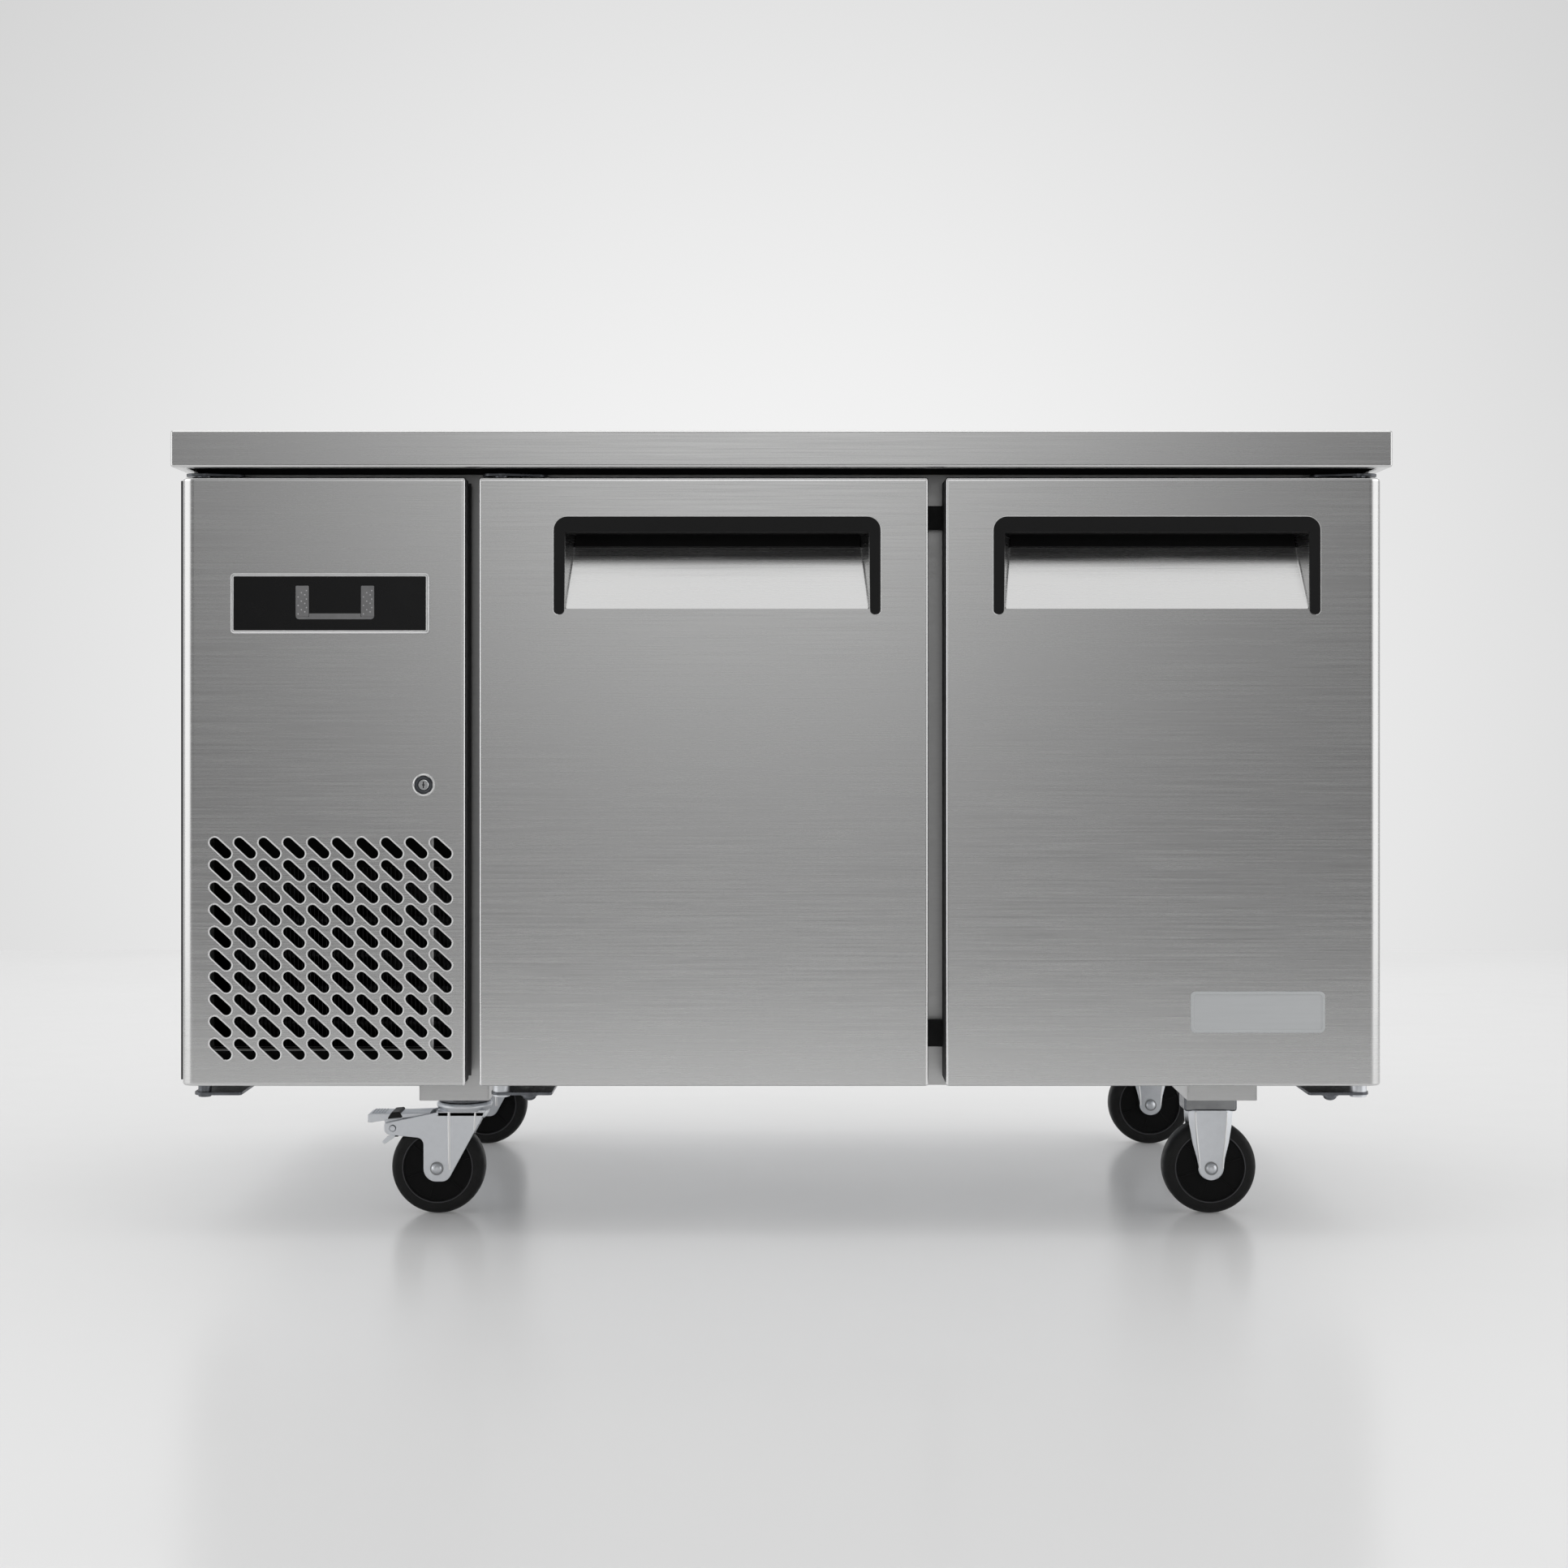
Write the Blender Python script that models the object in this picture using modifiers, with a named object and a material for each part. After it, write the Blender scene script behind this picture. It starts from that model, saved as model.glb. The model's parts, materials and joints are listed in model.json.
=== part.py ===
"""Undercounter refrigerator: two hinged doors beside a machine bay, standing on four casters.

Metres, +Z up, the doors face -Y. The origin is on the floor under the middle of the worktop.
"""

import math

import bmesh
import bpy
from mathutils import Matrix, Vector

# Gaps and sheet
SEAT = 0.0003  # between pieces that rest on each other
PLAY = 0.0004  # round a pin or shaft that turns
SHEET = 0.0012  # folded stainless sheet
PAST = 0.010  # a cutter past the face that it cuts

# Worktop
TOP_WIDTH = 1.200
TOP_DEPTH = 0.700
TOP_HEIGHT = 0.800
LIP_HEIGHT = 0.0365
LIP_HEM = 0.020

# Cabinet
SIDE_OVERHANG = 0.0057  # worktop past the cabinet's sides
FRONT_OVERHANG = 0.018  # worktop past the door faces
REAR_OVERHANG = 0.012
FRAME_DEPTH = 0.012
OPENING_ROUND = 0.010
WALL = 0.045  # foam between the lining and the outside
LINING = 0.0015
VENT_COUNT = 9
VENT_WIDTH = 0.200
VENT_HEIGHT = 0.010
VENT_PITCH = 0.024
VENT_LOW = 0.060  # lowest rear vent above the cabinet's floor

# Fronts
PANEL_WIDTH = 0.2817
PANEL_GAP = 0.0136
LEFT_DOOR_WIDTH = 0.4439
DOOR_GAP = 0.0176
DOOR_DEPTH = 0.048
DOOR_FLOOR_GAP = 0.0074  # door above the cabinet's floor
DOOR_TOP_GAP = 0.0081  # door below the worktop's lip
SEAL_SPACE = 0.012  # door to frame
OUTER_ROUND = 0.012  # front edge at either end of the cabinet
EDGE_ROUND = 0.0015
HINGE_INSET = 0.020  # pin from the door's hinged edge
HINGE_SETBACK = 0.020  # pin behind the door's face
HINGE_MARGIN = 0.046  # opening's edge from the door's hinged edge
FREE_MARGIN = 0.034  # opening's edge from the door's other edges
SEAL_WIDTH = 0.016
SEAL_MARGIN = 0.006  # seal from the opening's edge
SEAL_ROUND = 0.006
PLUG_MARGIN = 0.005  # door lining from the opening's edge
PLUG_DEPTH = 0.020

# Door handles
HANDLE_WIDTH = 0.323
HANDLE_HEIGHT = 0.0967
HANDLE_DROP = 0.039  # trim below the door's top edge
HANDLE_EDGE = 0.047  # trim from the door's free edge
TRIM_TOP = 0.0156
TRIM_LEG = 0.0105
TRIM_TIP = 0.005
TRIM_PROUD = 0.002
TRIM_WALL = 0.002
TRIM_ROUND = 0.014
POCKET_DEPTH = 0.034
POCKET_RISE = 0.0056  # pocket's lower edge above the trim's ends

# Machine panel
PANEL_DEPTH = 0.022
BAY_LEFT_POST = 0.016
BAY_RIGHT_POST = 0.0154
BAY_MARGIN = 0.030  # bay opening from the panel's upper and lower edges
RIM_WIDTH = 0.012
RIM_DEPTH = 0.013
SLOT_COLUMNS = 10
SLOT_ROWS = 10
SLOT_PITCH_X = 0.0242
SLOT_PITCH_Z = 0.0221
SLOT_WIDTH = 0.008
SLOT_LENGTH = 0.0262
SLOT_SLOPE = -41.0  # degrees
GRILLE_EDGE = 0.1329  # grille's middle from the panel's right edge
GRILLE_RISE = 0.1359  # grille's middle above the panel's lower edge

# Controls
DISPLAY_WIDTH = 0.1962
DISPLAY_HEIGHT = 0.0597
DISPLAY_EDGE = 0.1333  # middle from the panel's right edge
DISPLAY_DROP = 0.125  # middle below the panel's top edge
BEZEL_WIDTH = 0.0028
BEZEL_PROUD = 0.003
GLASS_PROUD = 0.002
CONTROLLER_WIDTH = 0.170
CONTROLLER_HEIGHT = 0.044
CONTROLLER_DEPTH = 0.026  # behind the panel's face
KEY_WIDTH = 0.0130
KEY_HEIGHT = 0.0260
KEY_DEPTH = 0.0014
KEY_SPREAD = 0.0645  # between the keys' middles
KEY_SHIFT = 0.0050  # keys' middle from the display's middle
KEY_TRAVEL = 0.0006
KEY_PROUD = 0.0006

# Lock
LOCK_EDGE = 0.0408  # from the panel's right edge
LOCK_DROP = 0.3041  # below the panel's top edge
LOCK_HEAD = 0.01125
LOCK_BARREL = 0.0090
LOCK_PLUG = 0.00525
LOCK_LENGTH = 0.030
LOCK_NUT = 0.003
CAM_WIDTH = 0.010
CAM_SHEET = 0.003
CAM_LENGTH = 0.033
CAM_GAP = 0.002  # cam behind the frame's back

# Hinges
HINGE_PLATE = 0.003
HINGE_PIN = 0.004
HINGE_BOSS = 0.008
HINGE_REACH = 0.012  # pin into the door
HINGE_TAIL = 0.040  # lower plate behind the frame's back
LOWER_HINGE_SPAN = 0.067  # lower plate past the pin
UPPER_HINGE_SPAN = 0.045
PANEL_HINGE_SPAN = 0.038
DOME_OFFSET = 0.036  # domed nut from the pin
DOME_RADIUS = 0.0055

# Interior
SHELF_CLEARANCE = 0.0317  # shelves below the evaporator's cover
SHELF_THICKNESS = 0.006
SHELF_GAP = 0.003
SHELF_BAR = 0.005
SHELF_PITCH = 0.026
SHELF_FRONT_GAP = 0.014
LEDGE = 0.012
SUPPORT_WIDTH = 0.034
SUPPORT_WEB = 0.018
SUPPORT_END = 0.060
COVER_DEPTH = 0.070
COVER_HEIGHT = 0.245
COVER_FRONT_GAP = 0.060
COVER_REAR_GAP = 0.030
RETURN_ROWS = 6
RETURN_HEIGHT = 0.010
RETURN_MARGIN = 0.034
EVAPORATOR_DEPTH = 0.045
EVAPORATOR_LENGTH = 0.240
EVAPORATOR_HEIGHT = 0.200
EVAPORATOR_FAN = 0.070  # radius
EVAPORATOR_FAN_DEPTH = 0.044
EVAPORATOR_FAN_INSET = 0.100  # fan's middle from the cover's front end
EVAPORATOR_MOTOR = 0.028  # radius
EVAPORATOR_MOTOR_LENGTH = 0.026

# Fans
FAN_CLEARANCE = 0.006
FAN_HUB = 0.022
FAN_ROOT = 0.013  # where a blade starts inside the hub
FAN_BLADES = 5
BLADE_SHEET = 0.002
BLADE_PITCH = 14.0  # degrees
SHAFT = 0.004
SHAFT_REACH = 0.008  # shaft into the hub

# Condensing unit
TRAY_LIP = 0.018
TRAY_MARGIN = 0.012
COIL_WIDTH = 0.240
COIL_DEPTH = 0.040
COIL_HEIGHT = 0.215
COIL_FRONT_GAP = 0.020
FIN_COUNT = 20
FIN_SHARE = 0.4  # of the coil's depth
SHROUD_DEPTH = 0.014
CONDENSER_FAN = 0.086  # radius
CONDENSER_FAN_DEPTH = 0.040
MOTOR_RADIUS = 0.034
MOTOR_LENGTH = 0.050
STRAP_WIDTH = 0.020
COMPRESSOR_RADIUS = 0.078
COMPRESSOR_HEIGHT = 0.190
COMPRESSOR_INSET = 0.190  # middle from the cabinet's back
FOOT_SHEET = 0.004
TERMINAL_WIDTH = 0.050
TERMINAL_DEPTH = 0.022
PIPE_RADIUS = 0.005
PIPE_BEND = 0.030
PIPE_OFFSET = 0.015
PIPE_DROP = 0.130  # pipe's wall end below the cold space's ceiling
GLAND_RADIUS = 0.012
GLAND_BORE = 0.0054
GLAND_LENGTH = 0.010
GLAND_RISE = 0.030  # above the cabinet's floor

# Casters
CASTER_HEIGHT = 0.129
CASTER_HEAD = 0.031  # swivel head between the wheel and the mounting face
RAIL_HEIGHT = 0.0167
RAIL_WIDTH = 0.071
RAIL_SHEET = 0.002
RAIL_END_GAP = 0.006
LEFT_CASTER_INSET = 0.2623  # caster's middle from the cabinet's side
RIGHT_CASTER_INSET = 0.1473
FRONT_CASTER_INSET = 0.091  # caster's middle behind the frame's face
REAR_CASTER_INSET = 0.089  # caster's middle from the cabinet's back
WHEEL_WIDTH = 0.030
WHEEL_SIDES = 30  # leaves a flat under the axle
TREAD_DEPTH = 0.0125
TREAD_CHAMFER = 0.0042
WEB_INSET = 0.0035
HUB_RADIUS = 0.014
HUB_WIDTH = 0.035
AXLE_RADIUS = 0.006
AXLE_HEAD = 0.0069
AXLE_HEAD_LENGTH = 0.004
FORK_SHEET = 0.0025
FORK_SPACE = 0.036  # between the legs
TRAIL = 0.0265  # axle behind the swivel
LEG_ROUND = 0.0137
PLATE_WIDTH = 0.058
PLATE_DEPTH = 0.080
PLATE_SHEET = 0.003
SHOULDER = 0.015  # rigid fork's straight top
RACE_RADIUS = 0.029
RACE_STEP = 0.002  # upper race inside the lower one
RACE_HEIGHT = 0.0082
CROWN_SHEET = 0.0075
KINGPIN = 0.006
KINGPIN_HEAD = 0.0096
KINGPIN_HEAD_HEIGHT = 0.004
LEG_DROP = 0.024  # leg's straight edge below the crown
BRAKE_CLEARANCE = 0.0132  # brake's pin from the wheel
BRAKE_SLOPE = 137.7  # degrees, from the axle to the brake's pin
BRAKE_PIN = 0.003
ARM_END = 0.009  # fork's arm past the brake's pin
ARM_RISE = 0.005  # arm's upper edge above the brake's pin, at its end
ARM_FALL = 0.0062  # arm's lower edge below the brake's pin, at its end
ARM_ROOT = 0.0105  # arm's lower edge below the brake's pin, at the leg
ARM_ROUND = 0.006
LUG_HALF = 0.006
LUG_SHEET = 0.002
SHOE_DROP = 0.010  # shoe's lower edge below the brake's pin
SHOE_HEIGHT = 0.0045
SHOE_REACH = 0.0055
PEDAL_LENGTH = 0.065
PEDAL_START = 0.034  # pedal's inner end from the swivel
PEDAL_SHEET = 0.004
PEDAL_ROUND = 0.006
PEDAL_GAP = 0.0015  # pedal to the fork's legs

# Heights and depths that follow
wheel_radius = (CASTER_HEIGHT - CASTER_HEAD) / 2
wheel_level = wheel_radius * math.cos(math.pi / WHEEL_SIDES)
floor = CASTER_HEIGHT + RAIL_HEIGHT + SEAT
lip_low = TOP_HEIGHT - LIP_HEIGHT
roof = lip_low - SEAT
door_low = floor + DOOR_FLOOR_GAP
door_high = lip_low - DOOR_TOP_GAP
open_low = door_low + FREE_MARGIN
open_high = door_high - FREE_MARGIN
cover_high = open_high - SEAT
cover_low = cover_high - COVER_HEIGHT
shelf_low = cover_low - SHELF_CLEARANCE - SHELF_THICKNESS
door_face = -TOP_DEPTH / 2 + FRONT_OVERHANG
door_back = door_face + DOOR_DEPTH
frame_front = door_back + SEAL_SPACE
frame_back = frame_front + FRAME_DEPTH
rim_front = frame_front - RIM_DEPTH
cam_y = frame_back + CAM_GAP + CAM_SHEET / 2
body_back = TOP_DEPTH / 2 - REAR_OVERHANG
back_inside = body_back - SHEET - SEAT
lining_back = back_inside - WALL
pin_y = door_face + HINGE_SETBACK
front_caster_y = frame_front + FRONT_CASTER_INSET
rear_caster_y = body_back - REAR_CASTER_INSET

# Places across the front
side = TOP_WIDTH / 2 - SIDE_OVERHANG
inside = side - SHEET - SEAT
panel_left = -side
panel_right = panel_left + PANEL_WIDTH
left_door = (panel_right + PANEL_GAP, panel_right + PANEL_GAP + LEFT_DOOR_WIDTH)
right_door = (left_door[1] + DOOR_GAP, side)
left_open = (left_door[0] + HINGE_MARGIN, left_door[1] - FREE_MARGIN)
right_open = (right_door[0] + FREE_MARGIN, right_door[1] - HINGE_MARGIN)
middle = (left_door[1] + right_door[0]) / 2
bay_open = (-inside + BAY_LEFT_POST, panel_right - BAY_RIGHT_POST)
partition = left_open[0] - WALL
bay_middle = (partition - inside) / 2
panel_pin = panel_left + HINGE_INSET
left_pin = left_door[0] + HINGE_INSET
right_pin = right_door[1] - HINGE_INSET
lock_x = panel_right - LOCK_EDGE
lock_z = door_high - LOCK_DROP
left_caster_x = -side + LEFT_CASTER_INSET
right_caster_x = side - RIGHT_CASTER_INSET

PARTS = bpy.data.collections.new("undercounter_refrigerator")
CUTTERS = bpy.data.collections.new("cutters")


def finish(name, colour, roughness, metallic=0.0):
    """A plain surface."""
    made = bpy.data.materials.new(name)
    made.use_nodes = True
    shader = made.node_tree.nodes["Principled BSDF"]
    shader.inputs["Base Color"].default_value = (*colour, 1.0)
    shader.inputs["Roughness"].default_value = roughness
    shader.inputs["Metallic"].default_value = metallic
    made.diffuse_color = (*colour, 1.0)
    return made


def give(surface, *pieces):
    """Gives pieces their surface."""
    for piece in pieces:
        piece.data.materials.clear()
        piece.data.materials.append(surface)


def place(name, data, at=(0.0, 0.0, 0.0), turn=(0.0, 0.0, 0.0)):
    """A new object among the parts."""
    made = bpy.data.objects.new(name, data)
    made.location = at
    made.rotation_euler = turn
    PARTS.objects.link(made)
    return made


def mesh_from(name, shape):
    """The mesh of a bmesh, which is freed."""
    mesh = bpy.data.meshes.new(name)
    shape.to_mesh(mesh)
    shape.free()
    return mesh


def box(name, low, high):
    """A block between two corners."""
    low = Vector(low)
    high = Vector(high)
    shape = bmesh.new()
    bmesh.ops.create_cube(shape, size=1.0, matrix=Matrix.Diagonal((*(high - low), 1.0)))
    return place(name, mesh_from(name, shape), (low + high) / 2)


def open_box(name, low, high, sheet, open_side):
    """A sheet box between two corners, without the side that faces open_side."""
    made = box(name, low, high)
    shape = bmesh.new()
    shape.from_mesh(made.data)
    lid = [face for face in shape.faces if face.normal.dot(Vector(open_side)) > 0.5]
    bmesh.ops.delete(shape, geom=lid, context="FACES")
    shape.to_mesh(made.data)
    shape.free()
    thicken(made, sheet)
    return made


def thicken(made, sheet):
    """Gives an open surface a thickness on its inner side."""
    wall = made.modifiers.new("Sheet", "SOLIDIFY")
    wall.thickness = sheet
    wall.offset = -1.0
    wall.use_even_offset = True


def rod(name, start, end, radius, sides=16):
    """A round bar between two points."""
    start = Vector(start)
    end = Vector(end)
    along = end - start
    shape = bmesh.new()
    sizes = {"radius1": radius, "radius2": radius, "depth": along.length}
    bmesh.ops.create_cone(shape, cap_ends=True, segments=sides, **sizes)
    mesh = mesh_from(name, shape)
    mesh.shade_smooth()
    mesh.set_sharp_from_angle(angle=math.radians(40.0))
    return place(name, mesh, (start + end) / 2, along.to_track_quat("Z", "Y").to_euler())


def turned(name, profile, at, turn=(0.0, 0.0, 0.0), sides=24, ring=False):
    """A turned piece: profile holds (radius, height) down its outer side; a ring's profile is closed."""
    mesh = bpy.data.meshes.new(name)
    last = len(profile) - 1
    edges = [(index, index + 1) for index in range(last)]
    if ring:
        edges.append((last, 0))
    mesh.from_pydata([(radius, 0.0, height) for radius, height in profile], edges, [])
    made = place(name, mesh, at, turn)
    lathe = made.modifiers.new("Turn", "SCREW")
    lathe.steps = sides
    lathe.render_steps = sides
    lathe.use_merge_vertices = True
    lathe.merge_threshold = 0.00001
    return made


def mirrored(profile):
    """A turned profile and its mirror image below it."""
    return profile + [(radius, -height) for radius, height in reversed(profile)]


def rounded(corners, steps=3):
    """The points of a closed outline; each corner is (u, v, radius)."""
    points = []
    count = len(corners)
    for index, (u, v, radius) in enumerate(corners):
        corner = Vector((u, v))
        if not radius:
            points.append(corner)
            continue
        before = (Vector(corners[index - 1][:2]) - corner).normalized()
        after = (Vector(corners[(index + 1) % count][:2]) - corner).normalized()
        half = before.angle(after) / 2
        centre = corner + (before + after).normalized() * (radius / math.sin(half))
        start = corner + before * (radius / math.tan(half)) - centre
        end = corner + after * (radius / math.tan(half)) - centre
        first = math.atan2(start.y, start.x)
        sweep = (math.atan2(end.y, end.x) - first + math.pi) % (2 * math.pi) - math.pi
        for step in range(steps + 1):
            angle = first + sweep * step / steps
            points.append(centre + Vector((math.cos(angle), math.sin(angle))) * radius)
    return points


def rectangle(low, high, radius=0.0, steps=3):
    """A rectangular outline between two corners."""
    corners = [(low[0], low[1]), (high[0], low[1]), (high[0], high[1]), (low[0], high[1])]
    return rounded([(u, v, radius) for u, v in corners], steps)


def circle(centre, radius, sides=32):
    """A round outline."""
    angles = [2 * math.pi * index / sides for index in range(sides)]
    return [Vector((centre[0] + radius * math.cos(a), centre[1] + radius * math.sin(a))) for a in angles]


def slot(centre, length, width, angle, steps=2):
    """A round-ended slot's outline."""
    reach = (length - width) / 2
    points = []
    for end in (angle, angle + math.pi):
        for step in range(steps + 1):
            around = end - math.pi / 2 + math.pi * step / steps
            u = centre[0] + reach * math.cos(end) + width / 2 * math.cos(around)
            v = centre[1] + reach * math.sin(end) + width / 2 * math.sin(around)
            points.append(Vector((u, v)))
    return points


def plate(name, plane, near, far, *outlines):
    """A flat piece in plane XY, XZ or YZ, from near to far along its normal; later outlines are holes."""
    curve = bpy.data.curves.new(name, "CURVE")
    curve.dimensions = "2D"
    curve.fill_mode = "BOTH"
    curve.extrude = abs(far - near) / 2
    for outline in outlines:
        spline = curve.splines.new("POLY")
        spline.points.add(len(outline) - 1)
        spline.use_cyclic_u = True
        for point, (u, v) in zip(spline.points, outline):
            point.co = (u, v, 0.0, 1.0)
    upright = math.pi / 2 if "Z" in plane else 0.0
    sideways = math.pi / 2 if "X" not in plane else 0.0
    at = [0.0 if axis in plane else (near + far) / 2 for axis in "XYZ"]
    return as_mesh(place(name, curve, at, (upright, 0.0, sideways)))


def tube(name, points, radius, bend):
    """A round pipe along points, with rounded bends."""
    path = [Vector(points[0])]
    for before, corner, after in zip(points, points[1:], points[2:]):
        corner = Vector(corner)
        into = (Vector(before) - corner).normalized() * bend
        out = (Vector(after) - corner).normalized() * bend
        for share in (0.0, 0.25, 0.5, 0.75, 1.0):
            path.append(corner + into * (1 - share) ** 2 + out * share**2)
    path.append(Vector(points[-1]))
    curve = bpy.data.curves.new(name, "CURVE")
    curve.dimensions = "3D"
    curve.bevel_depth = radius
    curve.bevel_resolution = 2
    curve.use_fill_caps = True
    spline = curve.splines.new("POLY")
    spline.points.add(len(path) - 1)
    for point, co in zip(spline.points, path):
        point.co = (*co, 1.0)
    return as_mesh(place(name, curve))


def as_mesh(made):
    """A curve's solid as a closed mesh, in its place."""
    bpy.context.view_layer.update()
    world = made.matrix_world.copy()
    solid = made.evaluated_get(bpy.context.evaluated_depsgraph_get())
    mesh = bpy.data.meshes.new_from_object(solid)
    shape = bmesh.new()
    shape.from_mesh(mesh)
    bmesh.ops.remove_doubles(shape, verts=shape.verts, dist=0.000001)
    bmesh.ops.recalc_face_normals(shape, faces=shape.faces)
    shape.to_mesh(mesh)
    shape.free()
    name = made.name
    bpy.data.objects.remove(made)
    made = place(name, mesh)
    made.matrix_world = world
    return made


def combine(target, operation, tools):
    """Cuts the tools from a piece, or joins them to it."""
    for tool in tools:
        step = target.modifiers.new(operation.title(), "BOOLEAN")
        step.operation = operation
        step.object = tool
        PARTS.objects.unlink(tool)
        CUTTERS.objects.link(tool)
        tool.name = f"{target.name}_tool"
        tool.hide_render = True
        tool.display_type = "WIRE"
    return target


def cut(target, *tools):
    """Cuts the tools from a piece."""
    return combine(target, "DIFFERENCE", tools)


def join(target, *tools):
    """Joins the tools to a piece."""
    return combine(target, "UNION", tools)


def carry(name, at, *pieces):
    """Hangs moving pieces on an empty on their joint's axis."""
    axis = place(name, None, at)
    for piece in pieces:
        piece.parent = axis
        piece.matrix_parent_inverse = Matrix.Translation(at).inverted()
    return axis


def fan(name, hub_start, hub_end, tip, depth):
    """An axial fan about the line between two points."""
    hub_start = Vector(hub_start)
    hub_end = Vector(hub_end)
    hub = rod(name, hub_start, hub_end, FAN_HUB, 15)
    facing = (hub_end - hub_start).to_track_quat("Z", "Y").to_matrix().to_4x4()
    facing.translation = (hub_start + hub_end) / 2
    for index in range(FAN_BLADES):
        blade = box(name, (FAN_ROOT, -depth / 2, -BLADE_SHEET / 2), (tip, depth / 2, BLADE_SHEET / 2))
        pitch = Matrix.Rotation(math.radians(BLADE_PITCH), 4, "X")
        step = Matrix.Rotation(2 * math.pi * index / FAN_BLADES, 4, "Z")
        blade.matrix_world = facing @ step @ pitch @ Matrix.Translation(blade.location)
        join(hub, blade)
    return hub


def finned(name, across, low, high):
    """A block between two corners, with upright fins side by side along X or Y on one face."""
    if across == "X":
        start, stop, root, tip = low[0], high[0], high[1], low[1]
    else:
        start, stop, root, tip = low[1], high[1], low[0], high[0]
    pitch = (stop - start) / (2 * FIN_COUNT + 1)
    groove = tip + (root - tip) * FIN_SHARE
    points = [(start, root), (stop, root)]
    for index in reversed(range(FIN_COUNT + 1)):
        near = start + 2 * index * pitch
        points += [(near + pitch, tip), (near, tip)]
        if index:
            points += [(near, groove), (near - pitch, groove)]
    if across == "Y":
        points = [(v, u) for u, v in points]
    return plate(name, "XY", low[2], high[2], points)


def folded_front(name, left, right, back, left_round, right_round):
    """A front sheet folded back on all four edges."""

    def plan(inset, rear):
        corners = [
            (left + inset, rear, 0.0),
            (left + inset, door_face + inset, max(left_round - inset, 0.0)),
            (right - inset, door_face + inset, max(right_round - inset, 0.0)),
            (right - inset, rear, 0.0),
        ]
        return rounded(corners, 4)

    skin = plate(name, "XY", door_low, door_high, plan(0.0, back))
    hollow = plate(name, "XY", door_low + SHEET, door_high - SHEET, plan(SHEET, back + SHEET))
    return cut(skin, hollow)


def pin_holes(name, pin_x, radius, reach):
    """Cutters for the hinge pins at a front's lower and upper edge."""
    low = rod(name, (pin_x, pin_y, door_low - PAST), (pin_x, pin_y, door_low + reach), radius)
    high = rod(name, (pin_x, pin_y, door_high - reach), (pin_x, pin_y, door_high + PAST), radius)
    return low, high


# Surfaces
steel = finish("brushed_steel", (0.56, 0.57, 0.58), 0.32, 1.0)
zinc = finish("zinc_plate", (0.62, 0.63, 0.65), 0.38, 1.0)
dark_metal = finish("dark_metal", (0.10, 0.11, 0.13), 0.45, 0.6)
chrome = finish("chrome", (0.80, 0.80, 0.82), 0.12, 1.0)
copper = finish("copper", (0.72, 0.38, 0.22), 0.30, 1.0)
foam = finish("foam", (0.85, 0.79, 0.62), 0.90)
white_plastic = finish("white_plastic", (0.82, 0.83, 0.83), 0.45)
black_plastic = finish("black_plastic", (0.020, 0.020, 0.022), 0.42)
black_glass = finish("black_glass", (0.010, 0.010, 0.012), 0.12)
grey_key = finish("grey_key", (0.17, 0.17, 0.18), 0.50)
seal_grey = finish("seal_grey", (0.10, 0.10, 0.11), 0.75)
tyre = finish("tyre", (0.018, 0.018, 0.020), 0.60)


def build_worktop():
    """The worktop: one sheet folded down to a lip with a hem all round."""
    half = Vector((TOP_WIDTH / 2, TOP_DEPTH / 2, 0.0))
    worktop = box("worktop", Vector((0, 0, lip_low)) - half, Vector((0, 0, TOP_HEIGHT)) + half)
    shape = bmesh.new()
    shape.from_mesh(worktop.data)
    under = [face for face in shape.faces if face.normal.z < -0.5]
    bmesh.ops.inset_region(shape, faces=under, thickness=LIP_HEM)
    bmesh.ops.delete(shape, geom=under, context="FACES")
    shape.to_mesh(worktop.data)
    shape.free()
    thicken(worktop, SHEET)
    give(steel, worktop)


def build_shell():
    """The sides and back in one folded sheet, with vents behind the machine bay."""
    wrap = [
        (-side, frame_front), (-side, body_back), (side, body_back), (side, frame_front),
        (side - SHEET, frame_front), (side - SHEET, body_back - SHEET),
        (SHEET - side, body_back - SHEET), (SHEET - side, frame_front),
    ]
    shell = plate("outer_shell", "XY", floor, roof, wrap)
    reach = Vector((VENT_WIDTH / 2, PAST, VENT_HEIGHT / 2))
    for row in range(VENT_COUNT):
        spot = Vector((bay_middle, body_back, floor + VENT_LOW + row * VENT_PITCH))
        cut(shell, box("vent", spot - reach, spot + reach))
    give(steel, shell)


def build_frame():
    """The front frame with both door openings, and the raised rim round the machine bay."""
    frame = plate(
        "front_frame", "XZ", frame_front, frame_back,
        rectangle((-inside, floor), (inside, roof)),
        rectangle((left_open[0], open_low), (left_open[1], open_high), OPENING_ROUND),
        rectangle((right_open[0], open_low), (right_open[1], open_high), OPENING_ROUND),
    )
    bay_low = Vector((bay_open[0], rim_front - PAST, door_low + BAY_MARGIN))
    bay_high = Vector((bay_open[1], frame_back + PAST, door_high - BAY_MARGIN))
    rim = box(
        "rim",
        (bay_low.x - RIM_WIDTH, rim_front, bay_low.z - RIM_WIDTH),
        (bay_high.x + RIM_WIDTH, frame_front + FRAME_DEPTH / 2, bay_high.z + RIM_WIDTH),
    )
    join(frame, rim)
    cut(frame, box("bay", bay_low, bay_high))
    give(steel, frame)


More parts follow.
